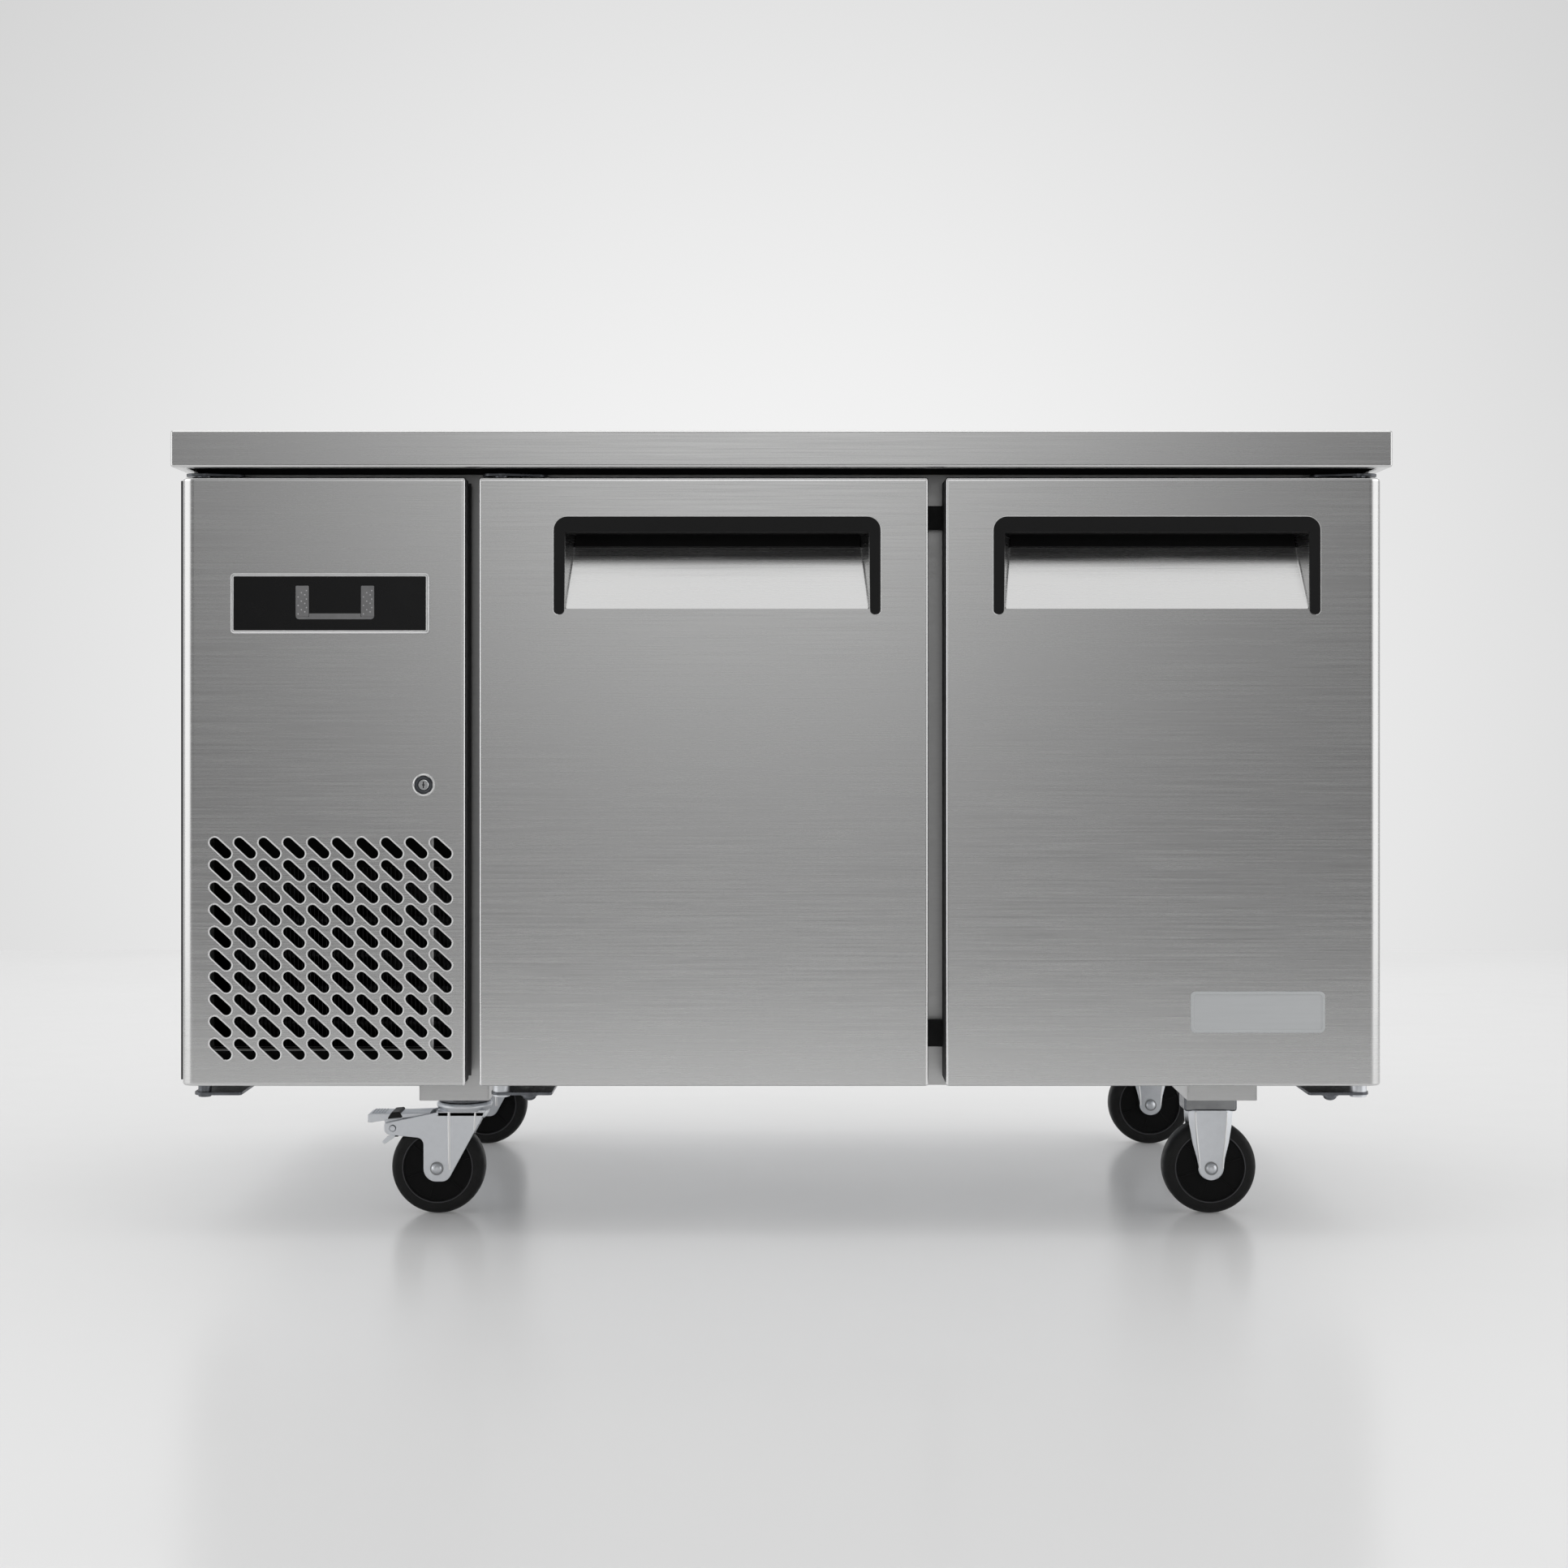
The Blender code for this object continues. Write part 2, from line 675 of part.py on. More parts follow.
def build_cold_box():
    """Bottom and partition panels, the lining with its shelf ledges, and the foam round it."""
    panel_top = floor + SHEET
    front = frame_back + SEAT
    bottom = box("bottom_panel", (-inside, front, floor), (inside, back_inside, panel_top))
    wall_low = (partition - SHEET, front, panel_top + SEAT)
    wall = box("partition_panel", wall_low, (partition, back_inside, roof))

    lining_low = Vector((left_open[0] - LINING, front, open_low - LINING))
    lining_high = Vector((right_open[1] + LINING, lining_back, open_high + LINING))
    lining = open_box("inner_liner", lining_low, lining_high, LINING, (0.0, -1.0, 0.0))
    for edge, inward in ((left_open[0], 1.0), (right_open[1], -1.0)):
        ends = sorted((edge - inward * LINING / 2, edge + inward * LEDGE))
        ledge = box(
            "ledge",
            (ends[0], frame_back + SHELF_FRONT_GAP, shelf_low - SEAT - SHEET),
            (ends[1], lining_back - LINING / 2, shelf_low - SEAT),
        )
        join(lining, ledge)

    seat = Vector((SEAT, SEAT, SEAT))
    insulation = box("insulation", (partition + SEAT, front, panel_top + SEAT), (inside, back_inside, roof))
    crest = box(
        "crest",
        (partition + SEAT, front, open_high + WALL / 2),
        (TOP_WIDTH / 2 - LIP_HEM - SHEET, TOP_DEPTH / 2 - LIP_HEM - SHEET, TOP_HEIGHT - SHEET - SEAT),
    )
    join(insulation, crest)
    cut(insulation, box("cold_space", lining_low - seat - Vector((0.0, PAST, 0.0)), lining_high + seat))

    give(zinc, bottom, wall)
    give(white_plastic, lining)
    give(foam, insulation)


def build_shelves():
    """Two slotted shelves and the bar between them."""
    shelf_front = frame_back + SHELF_FRONT_GAP
    shelf_back = lining_back - LINING - SHELF_GAP
    shelf_middle = (shelf_front + shelf_back) / 2
    spans = (
        ("left_shelf", left_open[0] + SHELF_GAP, middle - SHELF_GAP / 2),
        ("right_shelf", middle + SHELF_GAP / 2, right_open[1] - SHELF_GAP),
    )
    for name, left, right in spans:
        outlines = [rectangle((left, shelf_front), (right, shelf_back))]
        count = int((right - left - SHELF_BAR) / SHELF_PITCH)
        pitch = (right - left - SHELF_BAR) / count
        for index in range(count):
            near = left + SHELF_BAR + index * pitch
            far = near + pitch - SHELF_BAR
            outlines.append(rectangle((near, shelf_front + SHELF_BAR), (far, shelf_middle - SHELF_BAR)))
            outlines.append(rectangle((near, shelf_middle + SHELF_BAR), (far, shelf_back - SHELF_BAR)))
        give(chrome, plate(name, "XY", shelf_low, shelf_low + SHELF_THICKNESS, *outlines))

    top = shelf_low - SEAT
    front = frame_back + SEAT
    back = lining_back - LINING - SEAT
    bar_sheet = SHEET * 2
    half = SUPPORT_WIDTH / 2
    support = box("centre_shelf_support", (middle - half, front, top - bar_sheet), (middle + half, back, top))
    web = box("web", (middle - SHEET, front, top - SUPPORT_WEB), (middle + SHEET, back, top - SHEET))
    join(support, web)
    for near in (front, back - bar_sheet):
        end_low = (middle - half, near, top - SUPPORT_END)
        join(support, box("end", end_low, (middle + half, near + bar_sheet, top - SHEET)))
    give(steel, support)


def build_evaporator():
    """The evaporator on the cold space's left wall, with its fan and cover."""
    wall = left_open[0] + SEAT
    face = wall + COVER_DEPTH
    cover_front = frame_back + COVER_FRONT_GAP
    cover_back = lining_back - COVER_REAR_GAP
    fan_y = cover_front + EVAPORATOR_FAN_INSET
    fan_z = (cover_low + cover_high) / 2
    low = (wall, cover_front, cover_low)
    high = (face, cover_back, cover_high)
    cover = open_box("evaporator_cover", low, high, SHEET, (-1.0, 0.0, 0.0))
    mouth = EVAPORATOR_FAN + FAN_CLEARANCE
    cut(cover, rod("mouth", (face - PAST, fan_y, fan_z), (face + PAST, fan_y, fan_z), mouth, 32))
    return_front = fan_y + mouth + RETURN_MARGIN
    return_back = cover_back - RETURN_MARGIN
    for row in range(RETURN_ROWS):
        level = cover_low + COVER_HEIGHT * (row + 1) / (RETURN_ROWS + 1)
        slot_low = (face - PAST, return_front, level - RETURN_HEIGHT / 2)
        cut(cover, box("return", slot_low, (face + PAST, return_back, level + RETURN_HEIGHT / 2)))

    coil_back = cover_back - SHEET - SEAT
    coil_low = fan_z - EVAPORATOR_HEIGHT / 2
    coil = finned(
        "evaporator_coil", "Y", (wall, coil_back - EVAPORATOR_LENGTH, coil_low),
        (wall + EVAPORATOR_DEPTH, coil_back, coil_low + EVAPORATOR_HEIGHT),
    )

    motor_face = wall + EVAPORATOR_MOTOR_LENGTH
    hub_start = motor_face + SHAFT
    shaft_end = hub_start + SHAFT_REACH
    hub_end = face - FAN_CLEARANCE

    def on_axis(x):
        return (x, fan_y, fan_z)

    motor = rod("evaporator_fan_motor", on_axis(wall), on_axis(motor_face), EVAPORATOR_MOTOR, 20)
    join(motor, rod("shaft", on_axis(motor_face - SHAFT), on_axis(shaft_end), SHAFT, 12))
    blades = fan("evaporator_fan", on_axis(hub_start), on_axis(hub_end), EVAPORATOR_FAN, EVAPORATOR_FAN_DEPTH)
    bore = rod("bore", on_axis(hub_start - PAST), on_axis(shaft_end + SEAT), SHAFT + PLAY, 12)
    carry("evaporator_fan_axis", on_axis(hub_start), cut(blades, bore))

    give(steel, cover)
    give(zinc, coil)
    give(black_plastic, motor, blades)


def build_condenser():
    """The unit's tray, and the condenser with its fan."""
    tray_low = floor + SHEET + SEAT
    deck = tray_low + SHEET + SEAT
    tray = open_box(
        "unit_tray",
        (-inside + TRAY_MARGIN, frame_back + TRAY_MARGIN, tray_low),
        (partition - SHEET - TRAY_MARGIN, back_inside - TRAY_MARGIN, tray_low + TRAY_LIP),
        SHEET, (0.0, 0.0, 1.0),
    )
    coil_front = frame_back + COIL_FRONT_GAP
    coil_back = coil_front + COIL_DEPTH
    left = bay_middle - COIL_WIDTH / 2
    right = bay_middle + COIL_WIDTH / 2
    high = deck + COIL_HEIGHT
    coil = finned("condenser_coil", "X", (left, coil_front, deck), (right, coil_back, high))

    fan_z = (deck + high) / 2
    shroud_front = coil_back + SEAT
    shroud_back = shroud_front + SHROUD_DEPTH
    shroud = plate(
        "fan_shroud", "XZ", shroud_front, shroud_back,
        rectangle((left, deck), (right, high)),
        circle((bay_middle, fan_z), CONDENSER_FAN + FAN_CLEARANCE),
    )

    strap_front = shroud_back + SEAT
    strap_back = strap_front + SHEET * 2
    strap_half = CONDENSER_FAN + 3 * FAN_CLEARANCE
    hub_back = strap_front - SHEET
    hub_front = hub_back - SHROUD_DEPTH + 2 * SHEET
    shaft_tip = hub_back - SHAFT_REACH
    motor_back = strap_front + MOTOR_LENGTH

    def on_axis(y):
        return (bay_middle, y, fan_z)

    motor = rod("condenser_fan_motor", on_axis(strap_front + SHEET), on_axis(motor_back), MOTOR_RADIUS, 20)
    strap = box(
        "strap", (bay_middle - strap_half, strap_front, fan_z - STRAP_WIDTH / 2),
        (bay_middle + strap_half, strap_back, fan_z + STRAP_WIDTH / 2),
    )
    join(motor, strap, rod("shaft", on_axis(shaft_tip), on_axis(strap_back), SHAFT, 12))
    blades = fan("condenser_fan", on_axis(hub_front), on_axis(hub_back), CONDENSER_FAN, CONDENSER_FAN_DEPTH)
    bore = rod("bore", on_axis(shaft_tip - SEAT), on_axis(hub_back + PAST), SHAFT + PLAY, 12)
    carry("condenser_fan_axis", on_axis(hub_back), cut(blades, bore))

    give(zinc, tray, coil, shroud, motor)
    give(black_plastic, blades)


def build_compressor():
    """The compressor on the tray, its suction pipe to the cold space, and the cord's gland."""
    spot = Vector((bay_middle, body_back - COMPRESSOR_INSET, floor + 2 * (SHEET + SEAT)))
    r = COMPRESSOR_RADIUS
    h = COMPRESSOR_HEIGHT
    shares = [
        (0.0, 1.0), (0.55, 1.0), (0.80, 0.95), (0.96, 0.84), (0.96, 0.56), (1.0, 0.56),
        (1.0, 0.53), (0.96, 0.53), (0.96, 0.20), (0.80, 0.09), (0.0, 0.09),
    ]
    profile = [(r * across, h * up) for across, up in shares]
    compressor = turned("compressor", profile, spot, sides=20)
    foot = box("foot", spot + Vector((-r * 1.2, -r, 0.0)), spot + Vector((r * 1.2, r, FOOT_SHEET)))
    stand_low = spot + Vector((0.0, 0.0, FOOT_SHEET / 2))
    stand = rod("stand", stand_low, spot + Vector((0.0, 0.0, h * 0.15)), r * 0.5)
    terminals = box(
        "terminals",
        spot + Vector((-TERMINAL_WIDTH / 2, -r - TERMINAL_DEPTH, h * 0.30)),
        spot + Vector((TERMINAL_WIDTH / 2, -r * 0.8, h * 0.70)),
    )
    join(compressor, stand, foot, terminals)

    start = spot + Vector((PIPE_OFFSET, 0.0, h + SEAT))
    high = open_high - PIPE_DROP
    end = (partition - SHEET - SEAT, start.y, high)
    pipe = tube("suction_pipe", [start, (start.x, start.y, high), end], PIPE_RADIUS, PIPE_BEND)

    profile = [
        (GLAND_BORE, GLAND_LENGTH), (GLAND_RADIUS * 0.8, GLAND_LENGTH), (GLAND_RADIUS, GLAND_LENGTH * 0.7),
        (GLAND_RADIUS, 0.0), (GLAND_BORE, 0.0),
    ]
    at = (bay_middle, body_back + SEAT, floor + GLAND_RISE)
    gland = turned("cord_gland", profile, at, (-math.pi / 2, 0.0, 0.0), 20, True)
    give(dark_metal, compressor)
    give(copper, pipe)
    give(black_plastic, gland)


def build_hinges(name, pin_x, hand, lower_span, upper_span, domed):
    """A front's lower and upper hinge; hand is 1 where the front lies to the right of its pin."""
    high = floor - SEAT
    low = high - HINGE_PLATE
    nose = pin_y - HINGE_BOSS - SHEET
    tail = frame_back + HINGE_TAIL
    outer = pin_x - hand * HINGE_INSET / 2
    inner = pin_x + hand * lower_span
    outline = [(outer, nose, HINGE_BOSS), (inner, nose, HINGE_BOSS), (inner, tail, 0.0), (outer, tail, 0.0)]
    lower = plate(f"{name}_bottom_hinge", "XY", low, high, rounded(outline))
    root = low + SHEET
    boss = rod("boss", (pin_x, pin_y, root), (pin_x, pin_y, door_low - SEAT), HINGE_BOSS)
    pin = rod("pin", (pin_x, pin_y, root), (pin_x, pin_y, door_low + HINGE_REACH), HINGE_PIN, 12)
    join(lower, boss, pin)
    if domed:
        dome_x = pin_x + hand * DOME_OFFSET
        join(lower, rod("dome", (dome_x, pin_y, low - DOME_RADIUS), (dome_x, pin_y, root), DOME_RADIUS, 12))

    high = lip_low - HINGE_PLATE
    low = high - HINGE_PLATE
    root = high - SHEET
    leg_back = frame_front - SEAT
    leg_low = door_high - (FREE_MARGIN - SEAL_MARGIN - SEAL_WIDTH) + SHEET
    outer = pin_x - hand * (HINGE_INSET - SHEET)
    inner = pin_x + hand * upper_span
    outline = [
        (outer, nose, HINGE_BOSS), (inner, nose, HINGE_BOSS), (inner, leg_back, 0.0), (outer, leg_back, 0.0),
    ]
    upper = plate(f"{name}_top_hinge", "XY", low, high, rounded(outline))
    leg_left, leg_right = sorted((outer, inner))
    leg = box("leg", (leg_left, leg_back - HINGE_PLATE, leg_low), (leg_right, leg_back, root))
    boss = rod("boss", (pin_x, pin_y, door_high + SEAT), (pin_x, pin_y, root), HINGE_BOSS)
    pin = rod("pin", (pin_x, pin_y, door_high - HINGE_REACH), (pin_x, pin_y, root), HINGE_PIN, 12)
    join(upper, leg, boss, pin)
    give(steel, lower, upper)


def build_door(name, span, opening, pin_x, hinged_left):
    """One door: folded skin, foamed inner, seal and handle trim, hung on its pins."""
    left, right = span
    right_round = EDGE_ROUND if hinged_left else OUTER_ROUND
    skin = folded_front(f"{name}_skin", left, right, door_back, EDGE_ROUND, right_round)

    # Handle pocket
    half = HANDLE_WIDTH / 2
    centre = right - HANDLE_EDGE - half if hinged_left else left + HANDLE_EDGE + half
    trim_high = door_high - HANDLE_DROP
    trim_low = trim_high - HANDLE_HEIGHT
    mouth_half = half - TRIM_LEG
    mouth_high = trim_high - TRIM_TOP
    mouth_low = trim_low + POCKET_RISE
    cheek = mouth_half + TRIM_WALL
    ceiling = mouth_high + TRIM_WALL
    pocket_back = door_face + POCKET_DEPTH

    window = box(
        "window",
        (centre - cheek - SEAT, door_face - PAST, mouth_low),
        (centre + cheek + SEAT, door_face + SHEET * 2, ceiling + SEAT),
    )
    fold = plate(
        "fold", "YZ", centre - mouth_half + SEAT, centre + mouth_half - SEAT,
        [
            (door_face + SHEET * 0.2, mouth_low - SHEET), (pocket_back, mouth_high - SHEET),
            (pocket_back + SHEET, mouth_high - SHEET), (door_face + SHEET * 0.9, mouth_low - 3 * SHEET),
        ],
    )
    cut(skin, window)
    join(skin, fold)
    cut(skin, *pin_holes(name, pin_x, HINGE_PIN + PLAY, HINGE_REACH))

    # Foamed inner
    inset = SHEET + SEAT
    body = rounded([
        (left + inset, door_back, 0.0), (left + inset, door_face + inset, 0.0),
        (right - inset, door_face + inset, max(right_round - inset, 0.0)), (right - inset, door_back, 0.0),
    ], 4)
    inner = plate(f"{name}_inner", "XY", door_low + inset, door_high - inset, body)
    plug = box(
        "plug",
        (opening[0] + PLUG_MARGIN, door_back - SEAL_SPACE, open_low + PLUG_MARGIN),
        (opening[1] - PLUG_MARGIN, door_back + PLUG_DEPTH, open_high - PLUG_MARGIN),
    )
    deep = SHEET * 2
    hollow = plate(
        "hollow", "YZ", centre - cheek - SEAT * 2, centre + cheek + SEAT * 2,
        [
            (door_face, mouth_low - 2 * deep), (door_face + deep, mouth_low - 2 * deep),
            (pocket_back + deep, mouth_high), (pocket_back + deep, ceiling + SEAT * 2),
            (door_face, ceiling + SEAT * 2),
        ],
    )
    join(inner, plug)
    cut(inner, hollow, *pin_holes(name, pin_x, HINGE_PIN + 2 * PLAY, HINGE_REACH + SHEET))

    # Seal
    low = Vector((opening[0] - SEAL_MARGIN, open_low - SEAL_MARGIN))
    high = Vector((opening[1] + SEAL_MARGIN, open_high + SEAL_MARGIN))
    reach = Vector((SEAL_WIDTH, SEAL_WIDTH))
    seal = plate(
        f"{name}_gasket", "XZ", door_back + SEAT, frame_front - SEAT,
        rectangle(low - reach, high + reach, SEAL_ROUND), rectangle(low, high),
    )

    # Trim round the pocket
    flange = rounded([
        (centre - half, trim_low, TRIM_TIP), (centre - half, trim_high, TRIM_ROUND),
        (centre + half, trim_high, TRIM_ROUND), (centre + half, trim_low, TRIM_TIP),
        (centre + mouth_half, trim_low, TRIM_TIP), (centre + mouth_half, mouth_high, 0.0),
        (centre - mouth_half, mouth_high, 0.0), (centre - mouth_half, trim_low, TRIM_TIP),
    ])
    front = door_face - SEAT - TRIM_PROUD
    root = front + TRIM_PROUD / 2
    trim = plate(f"{name}_handle_trim", "XZ", front, door_face - SEAT, flange)
    side_wall = [
        (root, mouth_low + SEAT), (door_face, mouth_low + SEAT), (pocket_back - SEAT, mouth_high),
        (pocket_back - SEAT, ceiling - TRIM_WALL / 2), (root, ceiling - TRIM_WALL / 2),
    ]
    for near in (centre - cheek, centre + mouth_half):
        join(trim, plate("cheek", "YZ", near, near + TRIM_WALL, side_wall))
    lid = box("lid", (centre - cheek + SEAT, root, mouth_high), (centre + cheek - SEAT, pocket_back, ceiling))
    join(trim, lid)

    give(steel, skin)
    give(white_plastic, inner)
    give(seal_grey, seal)
    give(black_plastic, trim)
    carry(f"{name}_axis", (pin_x, pin_y, door_low), skin, inner, seal, trim)


def build_panel():
    """The hinged machine panel with its grille, controls and lock."""
    panel_back = door_face + PANEL_DEPTH
    panel = folded_front("machine_panel", panel_left, panel_right, panel_back, OUTER_ROUND, EDGE_ROUND)
    front = door_face - PAST
    behind = door_face + PAST
    slots = []
    for column in range(SLOT_COLUMNS):
        for row in range(SLOT_ROWS):
            x = panel_right - GRILLE_EDGE + (column - (SLOT_COLUMNS - 1) / 2) * SLOT_PITCH_X
            z = door_low + GRILLE_RISE + (row - (SLOT_ROWS - 1) / 2) * SLOT_PITCH_Z
            slots.append(slot((x, z), SLOT_LENGTH, SLOT_WIDTH, math.radians(SLOT_SLOPE)))
    cut(panel, plate("slots", "XZ", front, behind, *slots))
    cut(panel, rod("hole", (lock_x, front, lock_z), (lock_x, behind, lock_z), LOCK_BARREL + SEAT, 24))
    cut(panel, *pin_holes("hole", panel_pin, HINGE_PIN + PLAY, HINGE_REACH))
    give(steel, panel)

    display = Vector((panel_right - DISPLAY_EDGE, door_high - DISPLAY_DROP))
    body = Vector((CONTROLLER_WIDTH, CONTROLLER_HEIGHT)) / 2
    seat = Vector((SEAT, SEAT))
    cut(panel, plate("window", "XZ", front, behind, rectangle(display - body - seat, display + body + seat)))
    controls = build_controls(display, body, seat)
    lock, lock_axis = build_lock()
    carry("panel_axis", (panel_pin, pin_y, door_low), panel, lock, lock_axis, *controls)


def build_controls(display, body, seat):
    """The display's bezel, the controller behind it and two keys; the keys come back as their axes."""
    outer = Vector((DISPLAY_WIDTH, DISPLAY_HEIGHT)) / 2
    inner = outer - Vector((BEZEL_WIDTH, BEZEL_WIDTH))
    back = door_face - SEAT
    bezel = plate(
        "display_bezel", "XZ", back - BEZEL_PROUD, back,
        rectangle(display - outer, display + outer, BEZEL_WIDTH), rectangle(display - inner, display + inner),
    )
    glass_front = back - GLASS_PROUD
    controller = plate(
        "controller", "XZ", glass_front, back, rectangle(display - inner + seat, display + inner - seat)
    )
    case = box(
        "case",
        (display.x - body.x, glass_front + GLASS_PROUD / 2, display.y - body.y),
        (display.x + body.x, door_face + CONTROLLER_DEPTH, display.y + body.y),
    )
    join(controller, case)
    give(chrome, bezel)
    give(black_glass, controller)

    axes = []
    key_front = glass_front - KEY_PROUD
    room = Vector((SEAT, 0.0, SEAT))
    stroke = Vector((0.0, KEY_TRAVEL + SEAT, 0.0))
    for name, hand in (("left_key", -0.5), ("right_key", 0.5)):
        x = display.x + KEY_SHIFT + hand * KEY_SPREAD
        low = Vector((x - KEY_WIDTH / 2, key_front, display.y - KEY_HEIGHT / 2))
        high = Vector((x + KEY_WIDTH / 2, key_front + KEY_DEPTH, display.y + KEY_HEIGHT / 2))
        key = box(name, low, high)
        give(grey_key, key)
        cut(controller, box("recess", low - room, high + room + stroke))
        axes.append(carry(f"{name}_axis", (x, key_front, display.y), key))
    return [bezel, controller, *axes]


def build_lock():
    """The lock's body, and its plug with the cam hanging down, unlocked."""
    bore = LOCK_PLUG + PLAY
    nut_front = -SHEET - SEAT * 3
    nut_back = nut_front - LOCK_NUT
    profile = [
        (bore, BEZEL_PROUD), (LOCK_HEAD * 0.85, BEZEL_PROUD), (LOCK_HEAD, BEZEL_PROUD * 0.6),
        (LOCK_HEAD, 0.0), (LOCK_BARREL, 0.0), (LOCK_BARREL, nut_front), (LOCK_HEAD, nut_front),
        (LOCK_HEAD, nut_back), (LOCK_BARREL, nut_back), (LOCK_BARREL, -LOCK_LENGTH), (bore, -LOCK_LENGTH),
    ]
    lock = turned("lock_body", profile, (lock_x, door_face - SEAT, lock_z), (math.pi / 2, 0.0, 0.0), 16, True)
    tip = door_face - BEZEL_PROUD - SEAT * 2
    plug = rod("lock_plug", (lock_x, tip, lock_z), (lock_x, cam_y, lock_z), LOCK_PLUG, 16)
    cam = box(
        "cam",
        (lock_x - CAM_WIDTH / 2, cam_y - CAM_SHEET / 2, lock_z - CAM_LENGTH),
        (lock_x + CAM_WIDTH / 2, cam_y + CAM_SHEET / 2, lock_z + CAM_WIDTH / 2),
    )
    join(plug, cam)
    give(chrome, lock, plug)
    return lock, carry("lock_axis", (lock_x, door_face, lock_z), plug)


def build_rail(name, x):
    """A channel under the cabinet that carries the casters of one side."""
    low = (x - RAIL_WIDTH / 2, frame_front + RAIL_END_GAP, CASTER_HEIGHT)
    high = (x + RAIL_WIDTH / 2, body_back - RAIL_END_GAP, CASTER_HEIGHT + RAIL_HEIGHT)
    give(zinc, open_box(name, low, high, RAIL_SHEET, (0.0, 0.0, 1.0)))


def wheel(name, x, y):
    """A wheel whose lowest facet lies flat on the floor, on its own axis."""
    half = WHEEL_WIDTH / 2
    tread = wheel_radius - TREAD_DEPTH
    web = half - WEB_INSET
    profile = mirrored([
        (AXLE_RADIUS + PLAY, HUB_WIDTH / 2), (HUB_RADIUS, HUB_WIDTH / 2), (HUB_RADIUS, web), (tread, web),
        (tread, half), (wheel_radius, half - TREAD_CHAMFER),
    ])
    at = (x, y, wheel_level)
    made = turned(name, profile, at, (math.pi / 2, 0.0, 0.0), WHEEL_SIDES, True)
    give(tyre, made)
    return carry(f"{name}_axis", at, made)


def axle(name, x, y):
    """A wheel's axle with a head at each end."""
    grip = FORK_SPACE / 2 + FORK_SHEET + SEAT
    end = grip + AXLE_HEAD_LENGTH
    profile = mirrored([(0.0, end), (AXLE_HEAD * 0.7, end), (AXLE_HEAD, grip), (AXLE_RADIUS, grip)])
    made = turned(name, profile, (x, y, wheel_level), (math.pi / 2, 0.0, 0.0), 12)
    give(zinc, made)
    return made


def fork_legs(y, outline):
    """The two legs of a fork."""
    inner = FORK_SPACE / 2
    outer = inner + FORK_SHEET
    return [plate("leg", "XZ", y + hand * inner, y + hand * outer, outline) for hand in (-1.0, 1.0)]


def leg_hole(x, y, z, radius, sides=16):
    """A cutter through both legs of a fork."""
    return rod("hole", (x, y - FORK_SPACE, z), (x, y + FORK_SPACE, z), radius, sides)


def mounting(name, x, y):
    """A caster's flat mounting plate."""
    reach = Vector((PLATE_WIDTH / 2, PLATE_DEPTH / 2, 0.0))
    high = Vector((x, y, CASTER_HEIGHT - SEAT))
    return box(name, high - reach - Vector((0.0, 0.0, PLATE_SHEET)), high + reach)


def rigid_caster(name, x, y):
    """A caster that doesn't swivel."""
    fork = mounting(f"{name}_caster_fork", x, y)
    high = CASTER_HEIGHT - SEAT - PLATE_SHEET / 2
    shoulder = CASTER_HEIGHT - SHOULDER
    half = PLATE_WIDTH / 2 - SHEET
    low = wheel_level - LEG_ROUND
    outline = rounded([
        (x - half, high, 0.0), (x - half, shoulder, 0.0), (x - LEG_ROUND, low, LEG_ROUND * 0.8),
        (x + LEG_ROUND, low, LEG_ROUND * 0.8), (x + half, shoulder, 0.0), (x + half, high, 0.0),
    ])
    join(fork, *fork_legs(y, outline))
    cut(fork, leg_hole(x, y, wheel_level, AXLE_RADIUS + SEAT))
    give(zinc, fork)
    axle(f"{name}_caster_axle", x, y)
    wheel(f"{name}_wheel", x, y)


